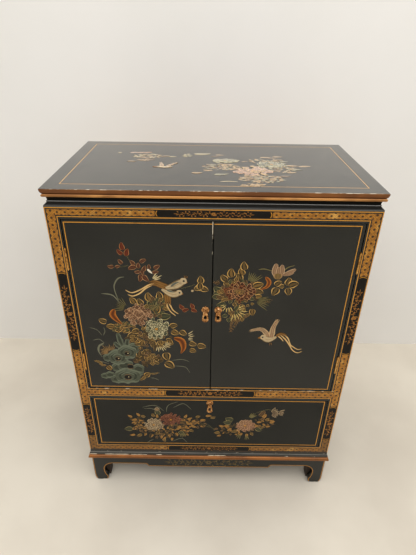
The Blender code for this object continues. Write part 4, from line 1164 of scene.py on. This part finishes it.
drawer_line = front_relief(10)
drawer_line.frame_line(*DRAWER_LINE, LINE, GILT_TONES)
drawer_line.fix("drawer_gilt_line", gilding, "brass", "drawer")


def blossom(relief, heart, radius, tones):
    """A small open flower with five petals."""
    heart = Vector(heart)
    for petal in range(5):
        way = towards(0.3 + 2 * pi * petal / 5) * radius
        over = 0.5 + 0.1 * (petal % 2)
        relief.stroke((heart + 0.12 * way, heart + way), radius * 0.9, tones, petal_outline, 0.1, 6, over)
    dab(relief, heart, radius * 0.16, GILT_TONES, 0.75)


sprays = front_relief(11, "drawer_front")
DRAWER_BLADES = (
    (GRASS, ((145, 165), (185, 174), (211, 150))), (GRASS, ((218, 147), (224, 175), (254, 191))),
    (GRASS, ((239, 165), (269, 183), (293, 159))), (GRASS, ((152, 6), (162, 16), (174, 22))),
    (GRASS, ((234, 16), (262, 29), (280, 8))), (GREEN_LEAF, ((318, 105), (338, 87), (370, 72))),
    (GREEN_LEAF, ((320, 98), (345, 92), (368, 62))), (GREEN_LEAF, ((482, 144), (521, 163), (542, 153))),
    (GRASS, ((150, 160), (180, 158), (200, 130))))
for tones, points in DRAWER_BLADES:
    blade(sprays, points, tones, 2.4)
DRAWER_THICKETS = (
    ((212, 62), (76, 34), 84), ((290, 98), (48, 24), 40), ((128, 96), (24, 40), 28),
    ((430, 72), (62, 24), 40), ((512, 104), (32, 20), 22))
for crowd in DRAWER_THICKETS:
    thicket(sprays, *crowd, 12, (SHADE_LEAF, BROWN_LEAF, GILT_LEAF), 0.55)
DRAWER_LEAVES = (
    ((200, 100), (
        (107, 127), (132, 134), (146, 126), (118, 112), (126, 95), (136, 78), (113, 71), (108, 44),
        (129, 42), (148, 46), (168, 38), (186, 52), (199, 34), (215, 58), (231, 70), (246, 47),
        (232, 24), (208, 20), (222, 40), (190, 128), (176, 132))),
    ((240, 100), (
        (275, 130), (288, 119), (266, 100), (258, 81), (280, 80), (292, 64), (286, 98), (310, 106),
        (313, 127), (328, 113), (345, 131), (358, 126), (300, 86))),
    ((457, 92), (
        (384, 88), (400, 88), (372, 57), (378, 44), (410, 73), (424, 66), (447, 51), (466, 46),
        (482, 54), (500, 109), (509, 121), (524, 120), (540, 109), (528, 91), (512, 84), (496, 92))))
for heart, places in DRAWER_LEAVES:
    leaves(sprays, heart, places, 17, (GILT_LEAF, GILT_LEAF, OCHRE_LEAF), 0.58)
leaves(sprays, (240, 100), ((98, 68), (262, 54), (190, 146)), 22, (GREEN_LEAF,))
leaves(sprays, (457, 92), ((408, 119), (402, 106), (502, 76)), 24, (GREEN_LEAF,))
tuft(sprays, (262, 62), -1.3, 0.9, 32, 5, FERN, 3)
tuft(sprays, (446, 60), -1.9, 0.5, 30, 3, FERN, 3)
tuft(sprays, (462, 58), -1.4, 0.4, 36, 3, FERN, 3)
tuft(sprays, (464, 120), 0.9, 0.6, 34, 4, FERN, 5)
blossom(sprays, (190, 158), 8, IVORY)
peony(sprays, (230, 115), (32, 28), (RED_PETAL, RED_PETAL_DARK))
peony(sprays, (177, 91), (31, 30), (IVORY,))
peony(sprays, (457, 93), (31, 29), (PEACH, PEACH, PINK))
leaves(sprays, (490, 110), ((504, 142), (514, 136), (508, 150)), 18, (BROWN_LEAF, GILT_LEAF))
tuft(sprays, (532, 146), 0.2, 1.9, 27, 6, IVORY, 8, 0.2)
tuft(sprays, (552, 150), 0.0, 1.1, 22, 3, IVORY, 7, 0.25, 0.6)
sprays.fix("drawer_painting", painting, "black_lacquer", "drawer")


# Stage: a pale floor and a pale wall close behind, under a wide soft light and an even sky.
# The camera stands where the photograph was taken from.
WALL_Y = 0.53
STAGE_REACH = 6.0
FLOOR_TINT = colour(216, 208, 193)
FLOOR_SHADE = colour(200, 191, 176)
WALL_TINT = colour(244, 242, 238)
WALL_SHADE = colour(240, 238, 233)


def stage_paint(name, tint, shade):
    """Matt paint on the front of a sheet. The sheet is clear from behind, so the back can be seen too."""
    material, place = new_finish(name)
    cloudy = place.cloud(2.2, 6.0).above(0.3, 0.75)
    paint = place.node("BsdfPrincipled", {}, {"Base Color": cloudy.blend(tint, shade), "Roughness": 0.85})
    behind = place.node("NewGeometry", {}, {}, "Backfacing")
    sheet = place.node("MixShader", {}, {0: behind, 1: paint, 2: place.node("BsdfTransparent")})
    place.node("OutputMaterial", {}, {"Surface": sheet}, None)
    return material


def stage_sheet(name, material, turn, place):
    """A flat sheet of the stage, turned about the x axis."""
    bm = bmesh.new()
    bmesh.ops.create_grid(bm, x_segments=1, y_segments=1, size=STAGE_REACH)
    bmesh.ops.rotate(bm, verts=bm.verts, cent=(0, 0, 0), matrix=Matrix.Rotation(turn, 3, "X"))
    bmesh.ops.translate(bm, verts=bm.verts, vec=place)
    sheet = new_object(name, bm, material)


stage_sheet("floor", stage_paint("pale_floor", FLOOR_TINT, FLOOR_SHADE), 0, (0, 0, 0))
stage_sheet("wall", stage_paint("pale_wall", WALL_TINT, WALL_SHADE), pi / 2, (0, WALL_Y, STAGE_REACH))

world = bpy.data.worlds.new("even_sky")
world.use_nodes = True
sky = world.node_tree.nodes["Background"]
sky.inputs["Color"].default_value = (1.0, 0.985, 0.96, 1.0)
sky.inputs["Strength"].default_value = 0.28
bpy.context.scene.world = world

LIGHT_PLACE = Vector((0.2, -1.4, 3.3))
LIGHT_AIM = Vector((0.2, -1.39, 0))
lamp = bpy.data.lights.new("ceiling_light", "AREA")
lamp.size = 5.0
lamp.energy = 204
lamp.color = (1.0, 0.992, 0.98)
ceiling_light = bpy.data.objects.new("ceiling_light", lamp)
ceiling_light.location = LIGHT_PLACE
ceiling_light.rotation_euler = (LIGHT_AIM - LIGHT_PLACE).to_track_quat("-Z", "Y").to_euler()
bpy.context.scene.collection.objects.link(ceiling_light)

CAMERA_PLACE = Vector((-0.01196, -1.10585, 1.3336))
CAMERA_PITCH = -0.5359
CAMERA_YAW = 0.00107
CAMERA_ROLL = 0.01505
CAMERA_LENS = 27.657
flat = cos(CAMERA_PITCH)
ahead = Vector((sin(CAMERA_YAW) * flat, cos(CAMERA_YAW) * flat, sin(CAMERA_PITCH)))
level = Vector((cos(CAMERA_YAW), -sin(CAMERA_YAW), 0))
upright = level.cross(ahead)
axis_x = level * cos(CAMERA_ROLL) + upright * sin(CAMERA_ROLL)
axis_y = upright * cos(CAMERA_ROLL) - level * sin(CAMERA_ROLL)
turned = Matrix((axis_x, axis_y, -ahead)).transposed().to_4x4()
lens = bpy.data.cameras.new("camera")
lens.lens = CAMERA_LENS
lens.sensor_width = 36.0
camera = bpy.data.objects.new("camera", lens)
camera.matrix_world = Matrix.Translation(CAMERA_PLACE) @ turned
bpy.context.scene.collection.objects.link(camera)
bpy.context.scene.camera = camera
bpy.context.scene.view_settings.view_transform = "Standard"
